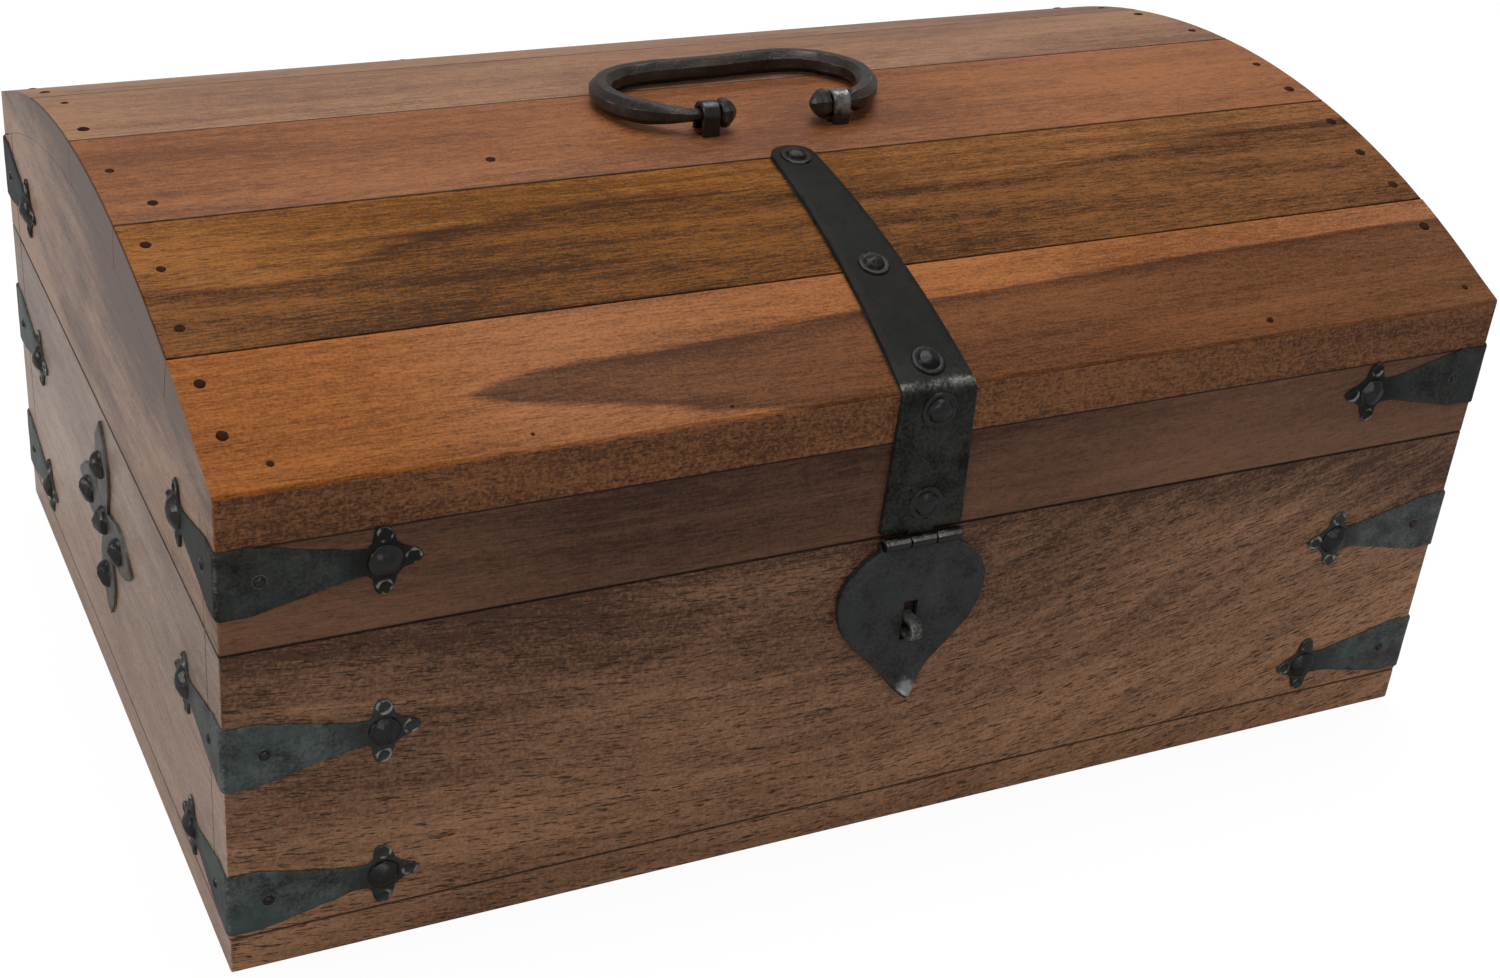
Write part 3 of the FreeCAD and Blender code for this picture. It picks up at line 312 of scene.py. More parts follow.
plainWood = {"grain": "X", "fibre": 0.8, "strand": 0.35, "speckle": 0.3}  # unless a wood says otherwise
woods = {
    "boards": {
        "pale": "#cf9a74", "deep": "#5e3f2e", "pore": "#302015", "pith": (-60, 190), "tilt": (0.8, -1.2),
        "ringGap": 9, "rings": 0.08, "blotch": 0.3, "pores": 0.85, "seed": 3, "fibre": 0.22, "strand": 0.16,
        # slotShade is a painted shade round the hasp's slot
        "gloss": 0.26, "seamDirtAndShadow": ((chest["seam"], 0.45),), "slotShade": ((0, -118, 69), 11),
        "sweep": ((-180, 0), (-110, -9), (-40, -15), (0, -15), (60, -8), (120, 3), (180, 16)),
        "figure": ((-180, 0), (0, 0.05), (60, 0.22), (150, 0.25), (180, 0.2)),
        "shades": (
            ("X", ((-180, -0.04), (-130, -0.12), (-100, -0.08), (-60, 0.0), (-30, -0.06), (20, -0.1),
                   (60, 0.0), (120, 0.04), (180, 0.06))),
            ("Z", ((0, 0.18), (12, 0.16), (32, 0.16), (45, 0.08), (56, -0.04), (70, -0.24), (82, -0.32),
                   (94, -0.38)))),
    },
    "lidFront": {
        "pale": "#95694e", "deep": "#452b1f", "pore": "#2a1910", "pith": (-90, 60), "tilt": (-1.0, 1.4),
        "ringGap": 11, "rings": 0.06, "blotch": 0.3, "pores": 0.3, "seed": 11, "fibre": 0.28, "strand": 0.16,
        # the line at edgeFoot is a painted shadow under the front plank's edge; the line at the seam is
        # grime
        "speckle": 0.2, "gloss": 0.24, "seamDirtAndShadow": ((chest["seam"], 0.45), (edgeFoot, 0.4)),
        "sweep": ((-180, 0), (-60, -4), (60, -2), (180, 6)),
        "shades": (
            ("X", ((-180, 0.0), (-140, -0.1), (-105, -0.2), (-85, -0.36), (-35, -0.32), (0, -0.16),
                   (40, -0.04), (90, 0.05), (180, 0.1))),
            ("Z", ((93, 0.3), (99, 0.18), (108, -0.02), (122, -0.12)))),
    },
    # the base's ends are a lighter, greyer copy of the lid's end wood, lightest low down: partly a painted
    # sheen, the floor's reflection at a glancing angle; darker towards the seam
    "ends": {
        "grain": "Y", "pale": "#dcb8a0", "deep": "#8b6a55", "pore": "#543d30", "pith": (40, 260),
        "tilt": (1.0, 0.6), "ringGap": 12, "rings": 0.06, "blotch": 0.35, "pores": 0.4, "seed": 23,
        "fibre": 0.35, "strand": 0.2, "gloss": 0.5, "coat": 0.7, "seamDirtAndShadow": ((chest["seam"], 0.9),),
        "figure": ((-180, 0.15), (180, 0.15)),
        "shades": (("Z", ((0, 0.2), (20, 0.22), (40, 0.08), (60, -0.02), (80, -0.25), (94, -0.4))),),
    },
    "lidEnds": {
        "grain": "Y", "pale": "#c4987a", "deep": "#6a4934", "pore": "#38251a", "pith": (40, 260),
        "tilt": (1.0, 0.6), "ringGap": 12, "rings": 0.1, "blotch": 0.75, "pores": 0.4, "seed": 31,
        "fibre": 0.4, "strand": 0.25, "gloss": 0.4, "coat": 0.42, "archRim": -0.4,
        "seamDirtAndShadow": ((chest["seam"], 0.9),), "figure": ((-180, 0.3), (180, 0.3)),
        "shades": (
            ("Z", ((90, 0.12), (105, 0.12), (120, 0.12), (135, -0.06), (150, -0.32), (165, -0.4))),
            ("Y", ((-118, -0.15), (-40, -0.05), (40, 0.15), (118, 0.2)))),
    },
    "plankEdge": {
        "pale": "#a36c44", "deep": "#5c3926", "pore": "#2c190c", "pith": (-40, 70), "tilt": (0.5, 1.5),
        "ringGap": 6, "rings": 0.15, "blotch": 0.35, "pores": 0.6, "seed": 6, "fibre": 0.4, "strand": 0.2,
        # the line at edgeFoot is a painted shadow where the plank's edge meets the lid's front board
        "speckle": 0.75, "gloss": 0.2, "seamDirtAndShadow": ((edgeFoot, 0.3),),
        "shades": (("X", ((-180, 0.0), (-20, 0.0), (40, 0.18), (90, 0.16), (120, -0.05), (180, -0.15))),),
    },
    "plankTan": {
        "pale": "#b06a30", "deep": "#6e3b10", "pore": "#45260f", "pith": (-40, 70), "tilt": (0.5, 1.5),
        "ringGap": 6, "rings": 0.15, "blotch": 0.4, "pores": 0.45, "seed": 5, "fibre": 0.5, "strand": 0.25,
        "speckle": 0.4, "gloss": 0.05, "heart": "#85512a", "heartDeep": "#4f2c17", "slope": 1.5,
        "lineSoft": 1.6,
        "shades": (("X", ((-180, 0.08), (-60, 0.06), (0, -0.02), (50, 0.05), (110, 0.12), (180, 0.12))),),
        "blush": ("#9a6a4c", ((-180, 0.0), (-140, 0.05), (-90, 0.5), (0, 0.3), (180, 0.75))),
        "upper": ((-180, -106), (-126, -102.5), (-117, -100.5), (-97, -95.5), (-70, -93.5), (-27, -90.5),
                  (0, -88), (60, -84), (120, -82), (180, -80)),
        "lower": ((-180, -90), (-126, -98), (-117, -101), (-101, -109), (-81, -114.8), (-65, -120.2),
                  (-48, -125.3), (-34, -129.5), (0, -140), (180, -158)),
    },
    "plankOlive": {
        "pale": "#9f662b", "deep": "#643a11", "pore": "#2f1b0a", "pith": (-75, 105), "tilt": (1.2, 2.0),
        "ringGap": 5, "rings": 0.25, "blotch": 0.45, "pores": 0.6, "seed": 8, "speckle": 0.4, "gloss": 0.05,
        "heart": "#8a551f", "heartDeep": "#42240a", "slope": 0, "lineSoft": 3.0,
        "shades": (("X", ((-180, 0.2), (-140, 0.05), (-40, -0.15), (10, -0.15), (50, 0.02), (100, 0.12),
                          (180, 0.15))),),
        "blush": ("#8a5c3c", ((-180, 0.3), (-60, 0.0), (20, 0.3), (180, 0.8))),
        "upper": ((-180, -56), (-140, -58.5), (-125, -55), (-112, -49), (-95, -44.5), (-70, -42),
                  (-40, -42.5), (-10, -46), (10, -48), (50, -50), (90, -46), (130, -42), (180, -40)),
        "lower": ((-180, -120), (180, -120)),
    },
    "plankRed": {
        "pale": "#a0653b", "deep": "#6c3e22", "pore": "#442512", "pith": (10, 60), "tilt": (-0.6, 0.9),
        "ringGap": 10, "rings": 0.12, "blotch": 0.5, "pores": 0.45, "seed": 14, "speckle": 0.4,
        "gloss": 0.22,
        "shades": (("X", ((-180, 0.06), (-140, -0.07), (-60, -0.05), (60, 0.1), (180, 0.25))),),
    },
    "plankPink": {
        "pale": "#a87b59", "deep": "#704a35", "pore": "#4a2e1e", "pith": (60, 40), "tilt": (0.7, -0.7),
        "ringGap": 12, "rings": 0.12, "blotch": 0.5, "pores": 0.4, "seed": 19, "speckle": 0.4, "gloss": 0.4,
        "shades": (("X", ((-180, 0.3), (-120, 0.12), (-60, 0.0), (60, 0.0), (180, -0.05))),),
    },
    "plankBack": {
        "pale": "#aa7f60", "deep": "#73503c", "pore": "#463024", "pith": (40, 30), "tilt": (-0.5, 0.7),
        "ringGap": 11, "rings": 0.12, "blotch": 0.5, "pores": 0.45, "seed": 29, "gloss": 0.4,
        "shades": (("X", ((-180, 0.3), (-60, 0.1), (60, 0.0), (180, -0.2))),),
    },
}
streakSizes = {  # fibres and pores are drawn wider than real ones, so that they show
    "fibre": {"long": 6.5, "wide": 0.42, "detail": 4.0, "rough": 0.65},
    "strand": {"long": 70, "wide": 2.6, "detail": 3.0, "rough": 0.6},
    "pore": {"long": 3.4, "wide": 0.36, "detail": 1.0, "rough": 0.5},  # real pores are 0.2 to 0.3 wide
    "blotch": {"long": 90, "wide": 26, "detail": 3.0, "rough": 0.55},
}
seedSteps = (0.37, 0.11, 0.23)  # how far a seed shifts the streaks
noiseSpan = (0.36, 0.64)  # where most of a noise's values lie
ringShape = {"stretch": 7, "waver": 5.0, "detail": 3.0, "waverSize": 34, "rough": 0.55}
waveUnit = 2 * math.pi / 20 / mm  # a wave texture's own ring gap at a scale of 1
speckle = {"size": 0.8, "detail": 2.0, "rough": 0.6}
figure = {"size": (60, 20, 6), "turn": -35, "detail": 3.0, "rough": 0.55}  # ripples that cross the grain
heartwood = {"level": 141, "span": (-160, 0), "fray": 2.6, "rim": (9, 0.5), "rimDark": 0.35}
sweepSpan = (-50, 50)
archDirt = 16
softEdge = 0.5  # share of a seam's or a stain's half width at which it has its full strength
poreCut = (0.57, 0.68)
grimeAndShadow = {"colour": "#1a110b", "most": 0.85}  # grime in the joints, and painted shadow under the front plank's edge
lacquer = {"rough": (0.34, 0.5), "bump": 0.35, "relief": 0.12, "ior": 1.5, "coatRough": 0.24}


def drawnLine(tree, along, points, low, high, unit=1.0):
    # a curve through points: millimetres along an axis to values between low and high
    start, end = points[0][0], points[-1][0]
    share = addNode(tree, "ShaderNodeMapRange", inputs={
        "Value": along, "From Min": start * mm, "From Max": end * mm})
    line = addNode(tree, "ShaderNodeFloatCurve", inputs={"Value": share})
    spots = [((at - start) / (end - start), (value - low) / (high - low)) for at, value in points]
    curve = line.mapping.curves[0]
    curve.points[0].location = spots[0]
    curve.points[1].location = spots[-1]
    for spot in spots[1:-1]:
        curve.points.new(*spot)
    line.mapping.update()
    return addNode(tree, "ShaderNodeMapRange", inputs={
        "Value": line, "To Min": low * unit, "To Max": high * unit})


def makeWood(name, wood):
    wood = {**plainWood, **wood}
    material, tree = newMaterial(name)
    place = addNode(tree, "ShaderNodeTexCoord").outputs["Object"]
    apart = addNode(tree, "ShaderNodeSeparateXYZ", inputs={0: place}).outputs
    straight = place
    if "sweep" in wood:
        rise = drawnLine(tree, apart["X"], wood["sweep"], *sweepSpan, mm)
        level = addNode(tree, "ShaderNodeMath", {"operation": "SUBTRACT"}, {0: apart["Z"], 1: rise})
        straight = addNode(tree, "ShaderNodeCombineXYZ", inputs={
            "X": apart["X"], "Y": apart["Y"], "Z": level})
    turned = math.pi / 2 if wood["grain"] == "Y" else 0
    lying = addNode(tree, "ShaderNodeMapping", {"vector_type": "TEXTURE"}, {
        "Vector": straight, "Rotation": (0, 0, turned)})

    def streaks(size):
        # noise drawn out along the grain
        long, wide = 1 / (size["long"] * mm), 1 / (size["wide"] * mm)
        drawn = addNode(tree, "ShaderNodeMapping", inputs={
            "Vector": lying, "Location": [wood["seed"] * step for step in seedSteps],
            "Scale": (long, wide, wide)})
        return addNode(tree, "ShaderNodeTexNoise", {"noise_dimensions": "3D"}, {
            "Vector": drawn, "Scale": 1.0, "Detail": size["detail"], "Roughness": size["rough"]})

    def spread(source, share, span=noiseSpan):
        # a pattern's useful range to a tone of about plus and minus half the share
        return addNode(tree, "ShaderNodeMapRange", {"clamp": False}, {
            "Value": source, "From Min": span[0], "From Max": span[1],
            "To Min": -share / 2, "To Max": share / 2})

    patterns = {kind: streaks(size) for kind, size in streakSizes.items()}
    patterns["speckle"] = addNode(tree, "ShaderNodeTexNoise", inputs={
        "Vector": place, "Scale": 1 / (speckle["size"] * mm), "Detail": speckle["detail"],
        "Roughness": speckle["rough"]})

    # rings round a pith that runs a little off the grain
    tiltAcross, tiltUp = (math.radians(angle) for angle in wood["tilt"])
    pith = addNode(tree, "ShaderNodeMapping", {"vector_type": "TEXTURE"}, {
        "Vector": lying, "Location": (0, wood["pith"][0] * mm, wood["pith"][1] * mm),
        "Rotation": (0, tiltUp, tiltAcross), "Scale": (ringShape["stretch"], 1, 1)})
    rings = addNode(tree, "ShaderNodeTexWave", {
        "wave_type": "RINGS", "rings_direction": "X", "wave_profile": "SIN"}, {
        "Vector": pith, "Scale": waveUnit / wood["ringGap"], "Distortion": ringShape["waver"],
        "Detail": ringShape["detail"], "Detail Scale": wood["ringGap"] / ringShape["waverSize"],
        "Detail Roughness": ringShape["rough"]})

    layers = [spread(patterns[kind], wood[kind]) for kind in ("fibre", "strand", "speckle", "blotch")]
    layers.append(spread(rings.outputs["Fac"], wood["rings"], (0, 1)))
    for axis, points in wood["shades"]:
        layers.append(drawnLine(tree, apart[axis], points, -1, 1))
    if "figure" in wood:
        crossed = addNode(tree, "ShaderNodeMapping", {"vector_type": "TEXTURE"}, {
            "Vector": place, "Rotation": (0, math.radians(figure["turn"]), 0),
            "Scale": [size * mm for size in figure["size"]]})
        ripple = addNode(tree, "ShaderNodeTexNoise", inputs={
            "Vector": crossed, "Scale": 1.0, "Detail": figure["detail"], "Roughness": figure["rough"]})
        share = drawnLine(tree, apart["X"], wood["figure"], 0, 1)
        layers.append(addNode(tree, "ShaderNodeMath", {"operation": "MULTIPLY"}, {
            0: spread(ripple, 1.0), 1: share}))
    if "archRim" in wood:
        # dirt that has gathered under the planks, along the arch
        level = addNode(tree, "ShaderNodeMath", {"operation": "SUBTRACT"}, {
            0: apart["Z"], 1: chest["archCentre"] * mm})
        spoke = addNode(tree, "ShaderNodeCombineXYZ", inputs={"Y": apart["Y"], "Z": level})
        reach = addNode(tree, "ShaderNodeVectorMath", {"operation": "LENGTH"}, {0: spoke}).outputs["Value"]
        layers.append(addNode(tree, "ShaderNodeMapRange", {"interpolation_type": "SMOOTHSTEP"}, {
            "Value": reach, "From Min": (chest["archRadius"] - archDirt) * mm,
            "From Max": chest["archRadius"] * mm, "To Min": 0.0, "To Max": wood["archRim"]}))
    tone = 0.5
    for layer in layers:
        tone = addNode(tree, "ShaderNodeMath", {"operation": "ADD"}, {0: tone, 1: layer})
    colour = laidOver(tree, linearColour(wood["deep"]), [(tone, wood["pale"])])

    if "heart" in wood:
        # heartwood between two drawn lines, darkest along its rim
        top = addNode(tree, "ShaderNodeMath", {"operation": "SUBTRACT"}, {
            0: apart["Z"], 1: heartwood["level"] * mm})
        across = addNode(tree, "ShaderNodeMath", {"operation": "MULTIPLY_ADD"}, {
            0: top, 1: wood["slope"], 2: apart["Y"]})
        frayed = spread(patterns["strand"], heartwood["fray"] * mm)
        across = addNode(tree, "ShaderNodeMath", {"operation": "ADD"}, {0: across, 1: frayed})
        upper = drawnLine(tree, apart["X"], wood["upper"], *heartwood["span"], mm)
        lower = drawnLine(tree, apart["X"], wood["lower"], *heartwood["span"], mm)
        under = addNode(tree, "ShaderNodeMath", {"operation": "SUBTRACT"}, {0: upper, 1: across})
        above = addNode(tree, "ShaderNodeMath", {"operation": "SUBTRACT"}, {0: across, 1: lower})
        inside = addNode(tree, "ShaderNodeMath", {"operation": "MINIMUM"}, {0: under, 1: above})
        heart = addNode(tree, "ShaderNodeMapRange", {"interpolation_type": "SMOOTHSTEP"}, {
            "Value": inside, "From Min": -wood["lineSoft"] * mm, "From Max": wood["lineSoft"] * mm})
        wide, narrow = heartwood["rim"]
        rim = addNode(tree, "ShaderNodeMapRange", {"interpolation_type": "SMOOTHSTEP"}, {
            "Value": inside, "From Min": wide * mm, "From Max": narrow * mm,
            "To Min": 0.0, "To Max": heartwood["rimDark"]})
        heartTone = addNode(tree, "ShaderNodeMath", {"operation": "SUBTRACT"}, {0: tone, 1: rim})
        heartColour = laidOver(tree, linearColour(wood["heartDeep"]), [(heartTone, wood["heart"])])
        colour = addNode(tree, "ShaderNodeMix", {"data_type": "RGBA"}, {
            0: heart, 6: colour, 7: heartColour}).outputs[2]

    if "blush" in wood:
        # hue and saturation drift along the board, and the figure stays
        hexText, points = wood["blush"]
        colour = addNode(tree, "ShaderNodeMix", {"data_type": "RGBA", "blend_type": "COLOR"}, {
            0: drawnLine(tree, apart["X"], points, 0, 1), 6: colour, 7: linearColour(hexText)}).outputs[2]

    pits = addNode(tree, "ShaderNodeMapRange", {"interpolation_type": "SMOOTHSTEP"}, {
        "Value": patterns["pore"], "From Min": poreCut[0], "From Max": poreCut[1],
        "To Min": 0.0, "To Max": wood["pores"]})
    # dark along the eased edges and the seam lines: grime in the joints, and at edgeFoot a painted shadow
    # under the front plank's edge
    dirtAndShadowMask = addNode(tree, "ShaderNodeAttribute", {"attribute_name": "wearAndHighlight"}).outputs["Fac"]
    for level, half in wood.get("seamDirtAndShadow", ()):
        away = addNode(tree, "ShaderNodeMath", {"operation": "SUBTRACT"}, {0: apart["Z"], 1: level * mm})
        away = addNode(tree, "ShaderNodeMath", {"operation": "ABSOLUTE"}, {0: away})
        line = addNode(tree, "ShaderNodeMapRange", inputs={
            "Value": away, "From Min": half * mm, "From Max": half * softEdge * mm})
        dirtAndShadowMask = addNode(tree, "ShaderNodeMath", {"operation": "MAXIMUM"}, {0: dirtAndShadowMask, 1: line})
    grimeAndShadowAmount = addNode(tree, "ShaderNodeMapRange", inputs={
        "Value": dirtAndShadowMask, "To Min": 0.0, "To Max": grimeAndShadow["most"]})
    covers = [(pits, wood["pore"]), (grimeAndShadowAmount, grimeAndShadow["colour"])]
    if "slotShade" in wood:
        # painted shade on the board round the hasp's slot, so that the slot looks dark
        spot, radius = wood["slotShade"]
        away = addNode(tree, "ShaderNodeVectorMath", {"operation": "DISTANCE"}, {
            0: place, 1: [value * mm for value in spot]}).outputs["Value"]
        rust = addNode(tree, "ShaderNodeMapRange", {"interpolation_type": "SMOOTHSTEP"}, {
            "Value": away, "From Min": radius * mm, "From Max": radius * softEdge * mm,
            "To Min": 0.0, "To Max": 1.0})
        covers.append((rust, wood["pore"]))
    colour = laidOver(tree, colour, covers)

    coat = 0.0
    if "coat" in wood:
        # the lacquer has gone from the dirty edges
        coat = addNode(tree, "ShaderNodeMapRange", inputs={
            "Value": dirtAndShadowMask, "To Min": wood["coat"], "To Max": 0.0})
    fibres = patterns["fibre"]
    smooth, dull = lacquer["rough"]
    rough = addNode(tree, "ShaderNodeMapRange", inputs={"Value": fibres, "To Min": smooth, "To Max": dull})
    height = addNode(tree, "ShaderNodeMath", {"operation": "MULTIPLY_ADD"}, {0: pits, 1: -1.0, 2: fibres})
    bump = addNode(tree, "ShaderNodeBump", inputs={
        "Strength": lacquer["bump"], "Distance": lacquer["relief"] * mm, "Height": height})
    skin = addNode(tree, "ShaderNodeBsdfPrincipled", inputs={
        "Base Color": colour, "Roughness": rough, "Normal": bump, "IOR": lacquer["ior"],
        "Specular IOR Level": wood["gloss"], "Coat Weight": coat, "Coat Roughness": lacquer["coatRough"]})
    addNode(tree, "ShaderNodeOutputMaterial", inputs={"Surface": skin})
    return material


# Blackened iron. Hand-forged sheet under a blue-black oil finish: hammered waves, mottled scale, and bright
# metal where edges are rubbed. The handle's bar has a browner scale.

irons = {
    "strap": {
        "dark": "#212725", "light": "#636c68", "blue": "#485a56", "rust": "#3d322a", "wornAndHighlight": "#b9bab5",
        "rough": (0.3, 0.48), "mottle": 7, "gloss": 0.5},
    "plate": {
        "dark": "#2d2b28", "light": "#6b6660", "blue": "#565b57", "rust": "#4a3d33", "wornAndHighlight": "#b4b5b0",
        "rough": (0.24, 0.4), "mottle": 7, "gloss": 0.7},
    "hasp": {
        "dark": "#191b1b", "light": "#454745", "blue": "#313a3a", "rust": "#312a24", "wornAndHighlight": "#b9bab5",
        "rough": (0.34, 0.52), "mottle": 10, "gloss": 0.4},
    "lidStrap": {
        "dark": "#1c1d1a", "light": "#4b4c46", "blue": "#363e39", "rust": "#3a3128", "wornAndHighlight": "#aaaba5",
        "rough": (0.4, 0.58), "mottle": 9, "gloss": 0.06},
    "lidCorner": {
        "dark": "#1c1e1c", "light": "#4b4e4a", "blue": "#36403d", "rust": "#3a3128", "wornAndHighlight": "#aaaba5",
        "rough": (0.38, 0.55), "mottle": 9, "gloss": 0.16},
    "rivet": {
        "dark": "#0a0807", "light": "#1f1916", "blue": "#151616", "rust": "#2a1d15", "wornAndHighlight": "#8a8782",
        "rough": (0.26, 0.44), "mottle": 3, "gloss": 0.22},
    "nail": {
        "dark": "#0a0807", "light": "#1f1916", "blue": "#151616", "rust": "#2a1d15", "wornAndHighlight": "#a09d98",
        "rough": (0.18, 0.36), "mottle": 3, "gloss": 0.6},
    "handle": {
        "dark": "#130f0b", "light": "#32271f", "blue": "#28231f", "rust": "#442a1d", "wornAndHighlight": "#8d7a6e",
        "rough": (0.22, 0.42), "mottle": 4, "gloss": 0.5},
    "brad": {
        "dark": "#24130a", "light": "#3e2416", "blue": "#301c10", "rust": "#432717", "wornAndHighlight": "#5a4232",
        "rough": (0.5, 0.7), "mottle": 3, "gloss": 0.04},
}
scaleLook = {
    "noises": {
        "mottle": {"detail": 5.0, "rough": 0.62},  # its size is the iron's own
        "bloom": {"size": 20, "detail": 4.0, "rough": 0.55},
        "grit": {"size": 0.9, "detail": 2.0, "rough": 0.55},
    },
    "gritShare": 0.6, "darkTo": 0.6, "sootAndShade": "#1a1916",
    "tints": {"blue": (0.5, 0.68, 0.65), "rust": (0.44, 0.3, 0.6)},  # bloom from and to, and the most
    "rubbedAndHighlit": (0.42, 0.95, 0.9), "bump": 0.5, "relief": 0.25,
}


def makeIron(name, iron):
    material, tree = newMaterial(name)
    place = addNode(tree, "ShaderNodeTexCoord").outputs["Object"]
    patterns = {}
    for kind, look in scaleLook["noises"].items():
        patterns[kind] = addNode(tree, "ShaderNodeTexNoise", inputs={
            "Vector": place, "Scale": 1 / (look.get("size", iron["mottle"]) * mm),
            "Detail": look["detail"], "Roughness": look["rough"]})
    mottle = patterns["mottle"]
    scale = addNode(tree, "ShaderNodeMath", {"operation": "MULTIPLY_ADD"}, {
        0: patterns["grit"], 1: scaleLook["gritShare"], 2: mottle})
    lit = addNode(tree, "ShaderNodeMapRange", inputs={
        "Value": scale, "From Min": scaleLook["darkTo"], "From Max": 1.0})
    covers = [(lit, iron["light"])]
    for tint, (low, high, most) in scaleLook["tints"].items():
        amount = addNode(tree, "ShaderNodeMapRange", {"interpolation_type": "SMOOTHSTEP"}, {
            "Value": patterns["bloom"], "From Min": low, "From Max": high, "To Min": 0.0, "To Max": most})
        covers.append((amount, iron[tint]))
    # soot on the iron, and painted shade where a piece asks for it
    sootAndShade = addNode(tree, "ShaderNodeAttribute", {"attribute_name": "sootAndShade"}).outputs["Fac"]
    wearAndHighlight = addNode(tree, "ShaderNodeAttribute", {"attribute_name": "wearAndHighlight"}).outputs["Fac"]
    patchy = addNode(tree, "ShaderNodeMath", {"operation": "MULTIPLY"}, {0: wearAndHighlight, 1: scale})
    # bright metal where the attribute asks for it: rubbed edges, and painted highlights on the barrel, the
    # hasp's bend and tip, and the staple
    low, high, most = scaleLook["rubbedAndHighlit"]
    rubbedAndHighlit = addNode(tree, "ShaderNodeMapRange", {"interpolation_type": "SMOOTHSTEP"}, {
        "Value": patchy, "From Min": low, "From Max": high, "To Min": 0.0, "To Max": most})
    covers += [(sootAndShade, scaleLook["sootAndShade"]), (rubbedAndHighlit, iron["wornAndHighlight"])]
    colour = laidOver(tree, linearColour(iron["dark"]), covers)
    smooth, dull = iron["rough"]
    rough = addNode(tree, "ShaderNodeMapRange", inputs={"Value": mottle, "To Min": smooth, "To Max": dull})
    bump = addNode(tree, "ShaderNodeBump", inputs={
        "Strength": scaleLook["bump"], "Distance": scaleLook["relief"] * mm, "Height": scale})
    skin = addNode(tree, "ShaderNodeBsdfPrincipled", inputs={
        "Base Color": colour, "Metallic": rubbedAndHighlit, "Roughness": rough, "Normal": bump,
        "Specular IOR Level": iron["gloss"]})
    addNode(tree, "ShaderNodeOutputMaterial", inputs={"Surface": skin})
    return material


# Forged plates: a flat outline in millimetres, filled with a fine mesh, given an eased and hammered face,
# and laid on the chest by a place function of (along, across, height)

filling = {"rowGap": 0.87, "clear": 0.6}  # shares of the fill's step
farAway, mergeWithin = 1e9, 1e-5


def resampled(ring, step):
    # the same outline in short straight steps, with its corners kept
    out = []
    for first, second in zip(ring, ring[1:] + ring[:1]):
        count = max(1, int(round(np.linalg.norm(second - first) / step)))
        out += [first + (second - first) * index / count for index in range(count)]
    return np.array(out)


def unevenRing(ring, step, seed, waves):
    # waves: (amount, length) pairs of hand-cut unevenness, in millimetres
    out = resampled(ring, step)
    for amount, length in waves:
        for axis in (0, 1):
            seat = seed + 40 * axis + 7
            out[:, axis] += [amount * noise.noise(Vector((*(point / length), seat))) for point in out]
    return list(out)


def edgeDistance(points, ring):
    first, second = ring, np.roll(ring, -1, axis=0)
    run = second - first
    length = np.maximum((run * run).sum(1), 1e-12)
    best = np.full(len(points), farAway)
    for start, step, size in zip(first, run, length):
        share = np.clip(((points - start) @ step) / size, 0, 1)
        best = np.minimum(best, np.linalg.norm(points - start - share[:, None] * step, axis=1))
    return best


def insideRing(points, ring):
    odd = np.zeros(len(points), bool)
    for (x1, y1), (x2, y2) in zip(ring, np.roll(ring, -1, axis=0)):
        crosses = (y1 > points[:, 1]) != (y2 > points[:, 1])
        with np.errstate(divide="ignore", invalid="ignore"):
            at = (x2 - x1) * (points[:, 1] - y1) / (y2 - y1) + x1
        odd ^= crosses & (points[:, 0] < at)
    return odd


def flatFill(rings, step):
    # triangles over the first ring less the others, with inner points about a step apart
    rings = [resampled(ring, step) for ring in rings]
    low, high = rings[0].min(0), rings[0].max(0)
    rows = []
    for row, across in enumerate(np.arange(low[1], high[1], step * filling["rowGap"])):
        shift = step / 2 if row % 2 else 0
        rows += [(along + shift, across) for along in np.arange(low[0], high[0], step)]
    inner = np.array(rows)
    keep = insideRing(inner, rings[0])
    clear = np.full(len(inner), farAway)
    for index, ring in enumerate(rings):
        if index:
            keep &= ~insideRing(inner, ring)
        clear = np.minimum(clear, edgeDistance(inner, ring))
    inner = inner[keep & (clear > step * filling["clear"])]
    edges, start = [], 0
    for ring in rings:
        count = len(ring)
        edges += [(start + index, start + (index + 1) % count) for index in range(count)]
        start += count
    points = [Vector(point) for point in np.concatenate(rings + [inner])]
    result = geometry.delaunay_2d_cdt(points, edges, [], 1, mergeWithin)
    points = np.array([tuple(point) for point in result[0]])
    faces = np.array([face for face in result[2] if len(face) == 3])
    middles = points[faces].mean(1)
    keep = insideRing(middles, rings[0])
    for ring in rings[1:]:
        keep &= ~insideRing(middles, ring)
    return points, faces[keep], rings


forging = {
    "pitch": 0.16, "edgeDrop": 0.75, "wearFrom": 1.15, "wearReach": 1.8, "wearPitch": 2.3,
    "wearShares": (0.55, 0.75), "rimAt": 1.05, "rimWide": 0.3, "rimLift": 0.45, "rimWear": (0.9, 1.6, 1.5),
    "thinnest": 0.2, "smoothTo": 50,
}


